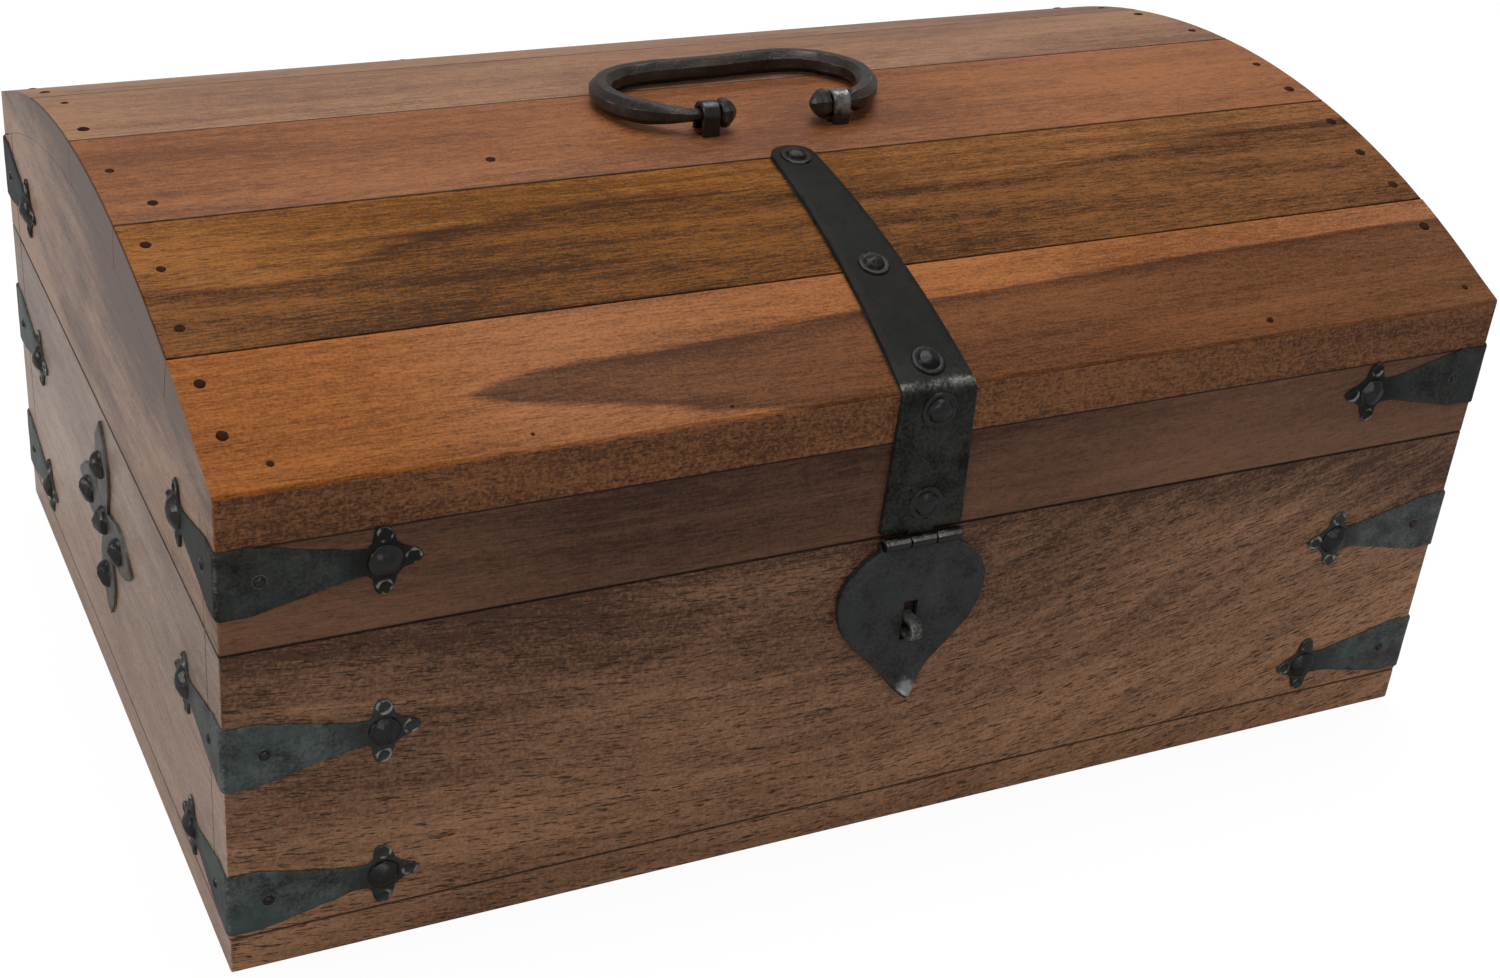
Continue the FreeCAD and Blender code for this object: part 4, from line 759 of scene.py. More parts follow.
def forgedPlate(name, fill, forge, place, material):
    # fill from flatFill; forge: thickness, ease, hammer, rub and seed, and scoops, bright spots and spots of
    # soot and painted shade
    points, faces, rings = fill
    toEdge = np.full(len(points), farAway)
    for ring in rings:
        toEdge = np.minimum(toEdge, edgeDistance(points, ring))

    def awayFrom(along, across, radius):
        return np.hypot(points[:, 0] - along, points[:, 1] - across) / radius

    drop = np.clip(1 - toEdge / forge["ease"], 0, 1) ** 2
    height = forge["thickness"] - forge["ease"] * forging["edgeDrop"] * drop
    fromEdge = toEdge / (forge["ease"] * forging["wearReach"])
    wearAndHighlight = forge["rub"] * np.clip(forging["wearFrom"] - fromEdge, 0, 1)
    least, most = forging["wearShares"]
    for index, (along, across) in enumerate(points):
        spot = Vector((along * forging["pitch"], across * forging["pitch"], forge["seed"]))
        height[index] += forge["hammer"] * noise.noise(spot) * min(1, toEdge[index])
        wearAndHighlight[index] *= least + most * noise.noise(spot * forging["wearPitch"])
    even, broken, brightest = forging["rimWear"]
    for along, across, radius, depth in forge.get("scoops", ()):
        away = awayFrom(along, across, radius)
        height -= depth * np.clip(1 - away * away, 0, 1)
        rim = np.exp(-((away - forging["rimAt"]) / forging["rimWide"]) ** 2)
        height += forging["rimLift"] * depth * rim
        turns = np.arctan2(points[:, 1] - across, points[:, 0] - along)
        seat = forge["seed"] + along
        gaps = [noise.noise(Vector((math.cos(turn), math.sin(turn), seat))) for turn in turns]
        wearAndHighlight = np.maximum(wearAndHighlight, rim * np.clip(even + broken * np.array(gaps), 0, brightest))
    for along, across, radius, amount in forge.get("bright", ()):
        away = awayFrom(along, across, radius)
        wearAndHighlight = np.maximum(wearAndHighlight, amount * np.exp(-away * away))
    height = np.maximum(height, forging["thinnest"])
    sootAndShade = np.zeros(len(points))
    for along, across, radius, amount in forge.get("sootAndShade", ()):
        sootAndShade = np.maximum(sootAndShade, amount * np.clip(2 - 2 * awayFrom(along, across, radius), 0, 1))

    used = {(a, b) for face in faces for a, b in zip(face, np.roll(face, -1))}
    rim = [(a, b) for a, b in used if (b, a) not in used]
    count = len(points)
    verts = [place(along, across, up) for (along, across), up in zip(points, height)]
    verts += [place(along, across, 0.0) for along, across in points]
    shell = [tuple(int(at) for at in face) for face in faces]
    shell += [tuple(int(at) + count for at in face[::-1]) for face in faces]
    shell += [(int(b), int(a), int(a) + count, int(b) + count) for a, b in rim]
    mesh = bpy.data.meshes.new(name)
    mesh.from_pydata([Vector(vert) * mm for vert in verts], [], shell)
    addValues(mesh, "wearAndHighlight", np.concatenate([wearAndHighlight, wearAndHighlight * 0]))
    addValues(mesh, "sootAndShade", np.concatenate([sootAndShade, sootAndShade * 0]))
    turnOutward(mesh)
    smoothByAngle(mesh, forging["smoothTo"])
    return linkNew(name, mesh, material)


# Corner straps: one outline unrolled round the corner, front leg to the left, end leg to the right

strap = {
    "thickness": 0.6, "rootHalf": 9.0, "neckHalf": 3.7, "frontReach": 38, "endReach": 33, "shoulder": 0.2,
    "neck": 0.8, "ease": 0.35, "hammer": 0.12, "rub": 0.4, "fill": 0.55, "cutStep": 0.9,
    "waves": ((0.3, 5.0), (0.16, 1.8)),  # unevenness of the cut edge: amount and length
    "cross": ((-4.0, 3.6), (-2.8, 4.6), (-2.5, 6.6), (-2.1, 8.0), (-1.1, 8.8), (0.5, 8.8), (1.6, 7.8),
              (2.3, 6.2), (2.9, 4.3), (4.6, 2.8), (6.3, 2.2), (7.7, 1.6), (8.7, 0.7), (9.1, 0.0)),
    "tips": ((0.0, 7.0), (0.0, -7.0), (6.6, 0.0)), "scoop": 1.7, "scoopDepth": 0.5,
    "dark": {"past": 1, "reach": 13, "amount": 0.75},  # soot round the cross
    "shine": {"half": 8, "spots": 17, "radius": 0.9, "amount": 0.75},  # rubbed along the bend
    "rows": {"lid": 111.8, "base_upper": 64.3, "base_lower": 21.0}, "rowSeed": 3.7, "cornerSeed": 1.3,
}
strapCorners = {"front_left": (-1, -1), "front_right": (1, -1), "back_right": (1, 1), "back_left": (-1, 1)}


def strapLeg(reach):
    # upper half of a leg's outline from the corner to the tip
    leg = [(reach * strap["shoulder"], strap["rootHalf"]), (reach * strap["neck"], strap["neckHalf"])]
    return leg + [(reach + along, across) for along, across in strap["cross"]]


def strapOutline():
    bendHalf = math.pi / 4 * (chest["crispRadius"] + strap["thickness"] / 2) - chest["crispRadius"]
    front = [(-along - bendHalf, across) for along, across in strapLeg(strap["frontReach"])]
    end = [(along + bendHalf, across) for along, across in strapLeg(strap["endReach"])]
    upper = front[::-1] + end
    lower = [(along, -across) for along, across in upper[::-1] if across]
    return [np.array(point, float) for point in upper + lower], bendHalf


def makeStraps(ironOf):
    # ironOf: a material for each row
    outline, bendHalf = strapOutline()
    radius = chest["crispRadius"]
    flat = radius + bendHalf
    dark, shine = strap["dark"], strap["shine"]
    scoops, sootAndShade = [], []
    for sign, reach in ((-1, strap["frontReach"]), (1, strap["endReach"])):
        sootAndShade.append((sign * (reach + dark["past"] + bendHalf), 0, dark["reach"], dark["amount"]))
        for along, across in strap["tips"]:
            scoops.append((sign * (reach + along + bendHalf), across, strap["scoop"], strap["scoopDepth"]))
    bright = [(0, across, shine["radius"], shine["amount"])
              for across in np.linspace(-shine["half"], shine["half"], shine["spots"])]
    for rowIndex, (row, level) in enumerate(strap["rows"].items()):
        for cornerIndex, (corner, (right, back)) in enumerate(strapCorners.items()):
            def place(along, across, up):
                out = chest["seat"] + up
                if abs(along) < flat:
                    turn = (along + flat) / (2 * flat) * math.pi / 2
                    reach = radius + out
                    x = halfWidth - radius + reach * math.sin(turn)
                    y = halfDepth - radius + reach * math.cos(turn)
                elif along < 0:
                    x, y = halfWidth + along + bendHalf, halfDepth + out
                else:
                    x, y = halfWidth + out, halfDepth - along + bendHalf
                return (right * x, back * y, level + across)

            seed = strap["rowSeed"] * rowIndex + strap["cornerSeed"] * cornerIndex
            forge = {**strap, "seed": seed, "scoops": scoops, "bright": bright, "sootAndShade": sootAndShade}
            cut = unevenRing(outline, strap["cutStep"], seed, strap["waves"])
            fill = flatFill([cut], strap["fill"])
            nodeName = f"{row}_strap_{corner}"
            settle(forgedPlate(f"{nodeName}_forged", fill, forge, place, ironOf[row]), nodeName)


# Four-leaf plates on the ends

leafPlate = {
    "reach": 30, "half": 7, "notch": 4, "level": 59.5, "thickness": 1.1, "ease": 0.4, "hammer": 0.35,
    "rub": 0.3, "leaf": ((0.3, 0.74), (0.46, 0.97), (0.62, 1.0), (0.8, 0.66), (0.93, 0.22)), "fill": 0.9,
    "cutStep": 1.2, "waves": ((0.6, 7.0), (0.25, 2.0)), "cutSeed": 8.3, "forgeSeed": 5.1,
}


def makeLeafPlates(iron):
    reach, half, notch = leafPlate["reach"], leafPlate["half"], leafPlate["notch"]
    leaf = [(reach * along, half * out) for along, out in leafPlate["leaf"]]
    quarter = [(notch, -notch)] + [(along, -out) for along, out in leaf] + [(reach, 0)] + leaf[::-1]
    outline = []
    for turn in range(4):
        cos, sin = round(math.cos(turn * math.pi / 2)), round(math.sin(turn * math.pi / 2))
        outline += [np.array((x * cos - y * sin, x * sin + y * cos)) for x, y in quarter]
    for side, right in (("left", -1), ("right", 1)):
        cut = unevenRing(outline, leafPlate["cutStep"], leafPlate["cutSeed"] + right, leafPlate["waves"])
        fill = flatFill([cut], leafPlate["fill"])

        def place(along, across, up):
            return (right * (halfWidth + chest["seat"] + up), along, leafPlate["level"] + across)

        forge = {**leafPlate, "seed": leafPlate["forgeSeed"] + right}
        nodeName = f"{side}_cross_plate"
        settle(forgedPlate(f"{nodeName}_forged", fill, forge, place, iron), nodeName)


# Strap over the lid, hasp and their barrel

lidStrap = {
    "half": 11.7, "edgeHalf": 10.3, "tipHalf": 6.2, "bottom": 94.8, "tipAt": -27.5, "thickness": 1.8,
    "ease": 0.5, "hammer": 0.14, "rub": 0.4, "tipRound": 5, "tipSteps": (0.18, 0.82, 5), "tab": 2.4,
    "fill": 1.0, "seed": 9.2,
    # shine: bright metal along the bend over the front edge, rubbed there and a painted highlight
    "shine": {"past": 1.5, "half": 10, "spots": 15, "radius": 2.8, "amount": 0.76},
    "dark": {"before": (60, 30, 0), "reach": 44, "amount": 0.85},  # painted shade over the strap's part on the dome, which the lamps light more than its front
}
hasp = {
    "axis": (-120.6, 92.2), "standOff": 0.5, "thickness": 1.8, "bendAt": 37.6, "bendRadius": 10,
    "slot": (2.0, 19.2, 30.9), "ease": 0.5, "hammer": 0.3, "rub": 0.35, "fill": 0.8, "seed": 2.2,
    "half": ((11, 0.5), (11.2, 2.6), (15.6, 5.4), (19.4, 9.6), (21.3, 13.8), (21.5, 17.6), (20.6, 22.2),
             (18.5, 27.2), (15.4, 31.2), (12.0, 34.7), (8.6, 38.3), (5.4, 42.0), (3.0, 45.3), (1.2, 47.4)),
    "tip": 48.3, "notch": (2.7, 0.5),  # room for the strap's knuckle
    "shine": ((2, 4.0, 1.1), (5, 3.0, 0.7)),  # rubbed at the tip, and a painted highlight on its outward curl: how far up, radius and amount
}
# on the barrel, rub and the band paint a highlight: bright metal along the top of each knuckle
barrel = {"radius": 1.85, "length": 22, "gap": 0.3, "sides": 28, "ease": 0.35, "soft": 0.3, "bore": 0.5,
          "rub": 1.0, "highlightBand": (0.4, 0.85), "smoothTo": 50}


def knuckle(work, low, high):
    # a closed rolled tube with eased ends, along X round the hasp's axis
    y0, z0 = hasp["axis"]
    ease, radius, sides = barrel["ease"], barrel["radius"], barrel["sides"]
    soft, bore = ease * barrel["soft"], radius * barrel["bore"]
    profile = [(low, bore), (low, radius - ease), (low + soft, radius - soft), (low + ease, radius),
               (high - ease, radius), (high - soft, radius - soft), (high, radius - ease), (high, bore)]
    verts = []
    for x, out in profile:
        for index in range(sides):
            turn = 2 * math.pi * index / sides
            spot = Vector((x, y0 + out * math.cos(turn), z0 + out * math.sin(turn)))
            verts.append(work.verts.new(spot * mm))
    for quad in ringFaces(0, len(profile), sides):
        work.faces.new([verts[at] for at in quad])
    work.faces.new(verts[:sides][::-1])
    work.faces.new(verts[-sides:])


def addKnuckles(piece, spans, iron):
    work = bmesh.new()
    work.from_mesh(piece.data)
    wearAndHighlight = work.verts.layers.float["wearAndHighlight"]
    before = set(work.verts)
    for low, high in spans:
        knuckle(work, low, high)
    fresh = [vert for vert in work.verts if vert not in before]
    # a painted highlight: a bright band along the top of each knuckle
    bandLow, bandHigh = barrel["highlightBand"]
    for vert in fresh:
        level = (vert.co.z / mm - hasp["axis"][1]) / barrel["radius"]
        vert[wearAndHighlight] = barrel["rub"] if bandLow < level < bandHigh else 0.0
    rolled = list({face for vert in fresh for face in vert.link_faces})
    for face in rolled:
        face.material_index = 1
    bmesh.ops.recalc_face_normals(work, faces=rolled)
    piece.data.materials.append(iron)
    work.to_mesh(piece.data)
    work.free()
    smoothByAngle(piece.data, barrel["smoothTo"])


def makeHasp(strapIron, haspIron, barrelIron):
    arch = chest["archRadius"]
    span = arch - chest["edgeRadius"]
    inset = halfDepth - chest["edgeRadius"]
    edgeLevel = chest["archCentre"] + math.sqrt(span * span - inset * inset)
    lean = math.asin(inset / span)  # from upright, where the bend meets the arch
    neutral = chest["edgeRadius"] + chest["seat"] + lidStrap["thickness"] / 2
    wallRun = edgeLevel - lidStrap["bottom"]
    bendRun = neutral * (math.pi / 2 - lean)
    archNeutral = arch + chest["seat"] + lidStrap["thickness"] / 2
    tipLean = math.asin(-lidStrap["tipAt"] / arch)
    full = wallRun + bendRun + archNeutral * (lean - tipLean)

    def overLid(along, across, up):
        out = chest["seat"] + up
        if along < wallRun:
            return (across, -halfDepth - out, lidStrap["bottom"] + along)
        if along < wallRun + bendRun:
            turn = math.pi / 2 - (along - wallRun) / neutral
            reach = chest["edgeRadius"] + out
            return (across, -inset - reach * math.sin(turn), edgeLevel + reach * math.cos(turn))
        turn = lean - (along - wallRun - bendRun) / archNeutral
        reach = arch + out
        return (across, -reach * math.sin(turn), chest["archCentre"] + reach * math.cos(turn))

    tipHalf, tipRound = lidStrap["tipHalf"], lidStrap["tipRound"]
    side = [(0.0, lidStrap["half"]), (wallRun + bendRun, lidStrap["edgeHalf"]), (full - tipRound, tipHalf)]
    for turn in np.linspace(*lidStrap["tipSteps"]) * math.pi / 2:
        side.append((full - tipRound + tipRound * math.sin(turn), tipHalf * math.cos(turn)))
    side.append((full, 0))
    middle = (barrel["length"] - 2 * barrel["gap"]) / 6
    tab = [(0.0, -middle), (-lidStrap["tab"], -middle), (-lidStrap["tab"], middle), (0.0, middle)]
    outline = tab + side + [(along, -across) for along, across in side[::-1] if across]
    outline = [np.array(point, float) for point in outline]
    shine, dark = lidStrap["shine"], lidStrap["dark"]
    # bright along the bend: wear, and a painted highlight
    bright = [(wallRun + bendRun * 0.5 + shine["past"], across, shine["radius"], shine["amount"])
              for across in np.linspace(-shine["half"], shine["half"], shine["spots"])]
    # painted shade over the strap's part on the dome
    sootAndShade = [(full - before, 0, dark["reach"], dark["amount"]) for before in dark["before"]]
    forge = {**lidStrap, "bright": bright, "sootAndShade": sootAndShade}
    fill = flatFill([outline], lidStrap["fill"])
    piece = forgedPlate("hasp_strap_forged", fill, forge, overLid, strapIron)
    addKnuckles(piece, [(-middle, middle)], barrelIron)
    settle(piece, "hasp_strap")

    axisZ = hasp["axis"][1]
    thick = hasp["thickness"]
    bendCentre = -halfDepth - hasp["standOff"] - thick - hasp["bendRadius"]
    bendNeutral = hasp["bendRadius"] + thick / 2

    def hang(along, across, up):
        if along < hasp["bendAt"]:
            return (across, -halfDepth - hasp["standOff"] - up, axisZ - along)
        turn = (along - hasp["bendAt"]) / bendNeutral
        reach = hasp["bendRadius"] + thick - up
        return (across, bendCentre + reach * math.cos(turn),
                axisZ - hasp["bendAt"] - reach * math.sin(turn))

    inner, outer = middle + barrel["gap"], barrel["length"] / 2
    notchTop, notchFoot = hasp["notch"]
    right = [(along, across) for across, along in hasp["half"]]
    ring = [(notchTop, -inner), (notchFoot, -inner)] + [(along, -across) for along, across in right]
    ring += [(hasp["tip"], 0)] + right[::-1] + [(notchFoot, inner), (notchTop, inner)]
    slotHalf, slotTop, slotLow = hasp["slot"]
    hole = [(slotTop, -slotHalf), (slotLow, -slotHalf), (slotLow, slotHalf), (slotTop, slotHalf)]
    fill = flatFill([[np.array(point, float) for point in cut] for cut in (ring, hole)], hasp["fill"])
    # bright at the tip: rubbed metal, and a painted highlight on the curl
    bright = [(hasp["tip"] - up, 0, radius, amount) for up, radius, amount in hasp["shine"]]
    piece = forgedPlate("hasp_plate_forged", fill, {**hasp, "bright": bright}, hang, haspIron)
    addKnuckles(piece, [(-outer, -inner), (inner, outer)], barrelIron)
    settle(piece, "hasp_plate")


# Heads of nails, brads and rivets, set out by a node tree

heads = {
    "strapNail": {"radius": 4.4, "height": 2.5, "facets": 7, "seed": 1},
    "plateNail": {"radius": 4.3, "height": 3.5, "facets": 7, "seed": 2},
    "rivet": {"radius": 4.5, "height": 2.1, "facets": 4, "seed": 3, "collar": 0.62, "rim": 0.12},
    "frontRivet": {"radius": 5.3, "height": 2.5, "facets": 4, "seed": 9, "collar": 0.66, "rim": 0.55},
    "brad": {"radius": 1.9, "height": 0.9, "facets": 2, "seed": 4, "collar": 0.6, "rim": 0.9},
    "plankBrad": {"radius": 1.7, "height": 0.5, "facets": 2, "seed": 6},
}
headShape = {  # profiles are shares of the radius and the height
    "sides": 20,
    "dome": ((1.0, 0.0), (0.99, 0.14), (0.95, 0.32), (0.86, 0.53), (0.72, 0.72), (0.52, 0.87), (0.27, 0.96)),
    "flange": ((1.0, 0.0), (1.0, 0.16), (0.95, 0.3), (0.84, 0.34)), "groove": (0.05, 0.28),
    "button": ((1.0, 0.42), (0.9, 0.68), (0.66, 0.88), (0.35, 0.97)),  # of the collar
    "lean": (0.25, 0.85), "flatAt": (0.82, 0.93), "flatsAbove": 0.2,  # hammered flats; lean in radians
    "rimAt": 0.93, "rimWide": 0.12, "topFrom": 0.8, "topWear": 1.3, "smoothTo": 20,
}


def makeHead(name, head, iron):
    # a round head with flats from the hammer; the flat side lies at z = 0
    draws = np.random.default_rng(head["seed"])
    radius, height, sides = head["radius"], head["height"], headShape["sides"]
    profile = headShape["dome"]
    if "collar" in head:
        collar = head["collar"]
        wider, level = headShape["groove"]
        button = tuple((collar * out, up) for out, up in headShape["button"])
        profile = headShape["flange"] + ((collar + wider, level),) + button
    points = []
    for out, up in profile:
        for index in range(sides):
            turn = 2 * math.pi * index / sides
            points.append((out * radius * math.cos(turn), out * radius * math.sin(turn), up * height))
    points.append((0, 0, height))
    points = np.array(points)
    for _ in range(head["facets"]):
        turn, lean = draws.uniform(0, 2 * math.pi), draws.uniform(*headShape["lean"])
        flat = np.array((math.sin(lean) * math.cos(turn), math.sin(lean) * math.sin(turn), math.cos(lean)))
        reach = (points @ flat).max() * draws.uniform(*headShape["flatAt"])
        over = np.maximum(points @ flat - reach, 0) * (points[:, 2] > headShape["flatsAbove"] * height)
        points -= over[:, None] * flat
    faces = ringFaces(0, len(profile), sides)
    faces += fanFaces((len(profile) - 1) * sides, sides, len(points) - 1)
    faces.append(tuple(range(sides))[::-1])
    mesh = bpy.data.meshes.new(name)
    mesh.from_pydata((points * mm).tolist(), [], faces)
    away = np.hypot(points[:, 0], points[:, 1]) / radius
    rim = np.exp(-((away - headShape["rimAt"]) / headShape["rimWide"]) ** 2) * head.get("rim", 0)
    top = np.clip(points[:, 2] / height - headShape["topFrom"], 0, 1) * headShape["topWear"]
    addValues(mesh, "wearAndHighlight", np.maximum(rim, top))
    smoothByAngle(mesh, headShape["smoothTo"])
    return linkNew(name, mesh, iron)


def headTree():
    # points with a "facing" direction in, heads out, each turned a little differently about its own axis
    tree = bpy.data.node_groups.new("nailHeads", "GeometryNodeTree")
    sockets = {
        "Geometry": "Geometry", "Head": "Object", "Seed": "Int", "Uneven": "Float", "Finish": "Material"}
    for name, kind in sockets.items():
        tree.interface.new_socket(name, in_out="INPUT", socket_type=f"NodeSocket{kind}")
    tree.interface.new_socket("Geometry", in_out="OUTPUT", socket_type="NodeSocketGeometry")
    given = addNode(tree, "NodeGroupInput").outputs
    shape = addNode(tree, "GeometryNodeObjectInfo", inputs={"Object": given["Head"]})
    facing = addNode(tree, "GeometryNodeInputNamedAttribute", {"data_type": "FLOAT_VECTOR"}, {
        "Name": "facing"}).outputs["Attribute"]
    aimed = addNode(tree, "FunctionNodeAlignRotationToVector", {"axis": "Z"}, {"Vector": facing})
    spin = addNode(tree, "FunctionNodeRandomValue", {"data_type": "FLOAT"}, {
        2: 0.0, 3: 2 * math.pi, "Seed": given["Seed"]})
    twist = addNode(tree, "FunctionNodeAxisAngleToRotation", inputs={
        "Axis": (0, 0, 1), "Angle": spin.outputs[1]})
    turned = addNode(tree, "FunctionNodeRotateRotation", {"rotation_space": "LOCAL"}, {
        "Rotation": aimed, "Rotate By": twist})
    least = addNode(tree, "ShaderNodeMath", {"operation": "SUBTRACT"}, {0: 1.0, 1: given["Uneven"]})
    girth = addNode(tree, "FunctionNodeRandomValue", {"data_type": "FLOAT"}, {
        2: least, 3: 1.0, "Seed": given["Seed"]})
    placed = addNode(tree, "GeometryNodeInstanceOnPoints", inputs={
        "Points": given["Geometry"], "Instance": shape.outputs["Geometry"], "Rotation": turned,
        "Scale": girth.outputs[1]})
    real = addNode(tree, "GeometryNodeRealizeInstances", inputs={"Geometry": placed})
    done = addNode(tree, "GeometryNodeSetMaterial", inputs={"Geometry": real, "Material": given["Finish"]})
    addNode(tree, "NodeGroupOutput", inputs={"Geometry": done})
    return tree


def setHeads(name, tree, head, spots, seed, uneven, iron):
    # spots: (place, facing) pairs in millimetres
    mesh = bpy.data.meshes.new(name)
    mesh.from_pydata([Vector(place) * mm for place, _ in spots], [], [])
    facing = mesh.attributes.new("facing", "FLOAT_VECTOR", "POINT")
    facing.data.foreach_set("vector", [value for _, way in spots for value in way])
    points = linkNew(f"{name}_points", mesh, iron)
    modifier = points.modifiers.new("heads", "NODES")
    modifier.node_group = tree
    settings = {"Head": head, "Seed": seed, "Uneven": uneven, "Finish": iron}
    for socket in tree.interface.items_tree:
        if socket.in_out == "INPUT" and socket.name in settings:
            modifier[socket.identifier] = settings[socket.name]
    view = bpy.context.evaluated_depsgraph_get()
    made = bpy.data.meshes.new_from_object(points.evaluated_get(view))
    bpy.data.objects.remove(points)
    made.name = name
    return linkNew(name, made, iron)


def archSpot(x, y, lift):
    # a place on the dome, and the way that it faces
    turn = math.asin(y / chest["archRadius"])
    reach = chest["archRadius"] + lift
    way = (0, math.sin(turn), math.cos(turn))
    return ((x, reach * way[1], chest["archCentre"] + reach * way[2]), way)


nailing = {
    "bradInset": 9.5, "plateSpacing": 17, "uneven": 0.1, "plankUneven": 0.3, "plankBradLift": -0.12,
    "sunk": {"strap": 0.15, "plate": 0.2, "rivet": 0.1},  # how far a head's foot lies in the iron
    "frontRivets": (129.0, 102.4), "lidRivets": (-34.0, -80.0, -111.0),
    "seeds": {"nails": 7, "brads": 21, "plate": 31, "lidRivets": 41, "frontRivets": 43, "planks": 51},
    "plankBrads": ((-172, -88), (-171, -102.5), (-163, -111.3), (-150, -113.5), (-103.5, -113.9),
                   (-54, -114.6), (103, -113), (171, -90), (170, -112), (-172, -40), (-171, -50),
                   (-172, -71), (172, -42),
                   (171, -58), (172, -73), (-172, -3), (-166, -22), (172, -4), (171, -22), (-79, -17),
                   (-172, 27), (-171, 56), (172, 30), (171, 58), (-172, 78), (-171, 104), (172, 80),
                   (171, 104), (-60, 112), (70, 112)),
}


def strapSpots(rows, frontAt, endAt):
    spots = []
    out = chest["seat"] + strap["thickness"] - nailing["sunk"]["strap"]
    for row in rows:
        level = strap["rows"][row]
        for right, back in strapCorners.values():
            front = (right * (halfWidth - frontAt), back * (halfDepth + out), level)
            end = (right * (halfWidth + out), back * (halfDepth - endAt), level)
            spots += [(front, (0, back, 0)), (end, (right, 0, 0))]
    return spots


def makeNails(nailIron, rivetIron, plankIron):
    tree = headTree()
    shapes = {name: makeHead(f"{name}Shape", head, nailIron) for name, head in heads.items()}
    seeds, sunk, inset = nailing["seeds"], nailing["sunk"], nailing["bradInset"]

    def hammered(nodeName, shape, spots, seed, iron=nailIron):
        piece = setHeads(f"{nodeName}_hammered", tree, shapes[shape], spots, seed, nailing["uneven"], iron)
        settle(piece, nodeName)

    def onLid(name, shape, spots, seed, uneven, iron, slot):
        # heads that have no CAD node of their own
        piece = setHeads(name, tree, shapes[shape], spots, seed, uneven, iron)
        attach(piece, "lid")

    rows = {"lid": ["lid"], "base": ["base_upper", "base_lower"]}
    for index, (body, levels) in enumerate(rows.items()):
        crosses = strapSpots(levels, strap["frontReach"], strap["endReach"])
        hammered(f"{body}_strap_nails", "strapNail", crosses, seeds["nails"] + index)
        hammered(f"{body}_strap_brads", "brad", strapSpots(levels, inset, inset), seeds["brads"] + index)
    spots = []
    step = nailing["plateSpacing"]
    for right in (-1, 1):
        out = right * (halfWidth + chest["seat"] + leafPlate["thickness"] - sunk["plate"])
        for along, up in ((0, 0), (1, 0), (0, 1), (-1, 0), (0, -1)):
            spots.append(((out, along * step, leafPlate["level"] + up * step), (right, 0, 0)))
    hammered("cross_plate_nails", "plateNail", spots, seeds["plate"])
    lift = chest["seat"] + lidStrap["thickness"] - sunk["rivet"]
    spots = [archSpot(0, y, lift) for y in nailing["lidRivets"]]
    hammered("hasp_strap_rivets", "rivet", spots, seeds["lidRivets"], rivetIron)
    spots = [((0, -halfDepth - lift, level), (0, -1, 0)) for level in nailing["frontRivets"]]
    onLid("hasp_strap_front_rivets", "frontRivet", spots, seeds["frontRivets"], nailing["uneven"], nailIron,
          slotOf["hasp_strap_rivets"])
    spots = [archSpot(x, y, nailing["plankBradLift"]) for x, y in nailing["plankBrads"]]
    onLid("plank_brads", "plankBrad", spots, seeds["planks"], nailing["plankUneven"], plankIron,
          "black_iron")
    for shape in shapes.values():
        bpy.data.objects.remove(shape)


# Handle: a forged bar that tapers to two necks with faceted knobs

handle = {
    "centre": (3, -13, 164.593), "sag": 3.5, "neckIn": 16.8, "neckOut": 22.4, "bar": 3.2, "neck": 1.7,
    "line": ((16.8, 0), (22.0, 0), (26.8, 1.6), (31.2, 6.0), (34.8, 11.6), (36.9, 18.2), (36.4, 24.2),
             (34.0, 29.4), (30.0, 34.3), (24.8, 37.2), (17.5, 38.4), (8.0, 38.0), (-2.3, 37.3),
             (-12.2, 37.1), (-21.9, 36.9), (-29.6, 35.2), (-35.4, 32.0), (-39.3, 27.0), (-40.8, 20.5),
             (-40.0, 13.6),
             (-36.8, 7.8), (-31.0, 3.0), (-26.0, 0.7), (-22.4, 0), (-16.8, 0)),
    "rightTaper": 2.5, "leftTaper": 15, "pieces": 8, "step": 1.0, "ringSides": 32, "flats": 8,
    "smoothTo": 22,
    "hammer": 0.2, "ripple": (0.13, 1.1), "fullRipple": 3,  # ripples fade on a thinner bar
    "round": 0.15, "flatShare": 0.85,  # how far the bar is round and how far eight-sided
    "arris": {"from": 0.96, "over": 0.04, "wearAndHighlight": 0.9, "least": 0.6, "pitch": 1.7},
    "knob": ((0, 1.9), (0.1, 3.0), (0.8, 3.8), (1.9, 4.1), (3.1, 3.8), (4.4, 2.5), (5.4, 1.0), (5.8, 0)),
    "knobUneven": 0.05, "knobPitch": (1.7, 3.1), "knobWear": 0.35, "tipWear": 0.6,
}


def curveThrough(points, pieces):
    # a smooth curve through points, in short straight pieces
    points = [np.array(point, float) for point in points]
    padded = [2 * points[0] - points[1]] + points + [2 * points[-1] - points[-2]]
    line = []
    for before, first, second, after in zip(padded, padded[1:], padded[2:], padded[3:]):
        bend = 2 * before - 5 * first + 4 * second - after
        twist = 3 * (first - second) + after - before
        for share in np.arange(pieces) / pieces:
            line.append(first + 0.5 * share * (second - before + share * (bend + share * twist)))
    return line + [points[-1]]


def evenly(line, step):
    # the same line in even steps, and how far along each point lies
    lengths = [np.linalg.norm(b - a) for a, b in zip(line, line[1:])]
    marks = np.concatenate([[0], np.cumsum(lengths)])
    count = int(round(marks[-1] / step))
    at = np.linspace(0, marks[-1], count + 1)
    line = np.array(line)
    return np.stack([np.interp(at, marks, line[:, axis]) for axis in (0, 1)], axis=1), at


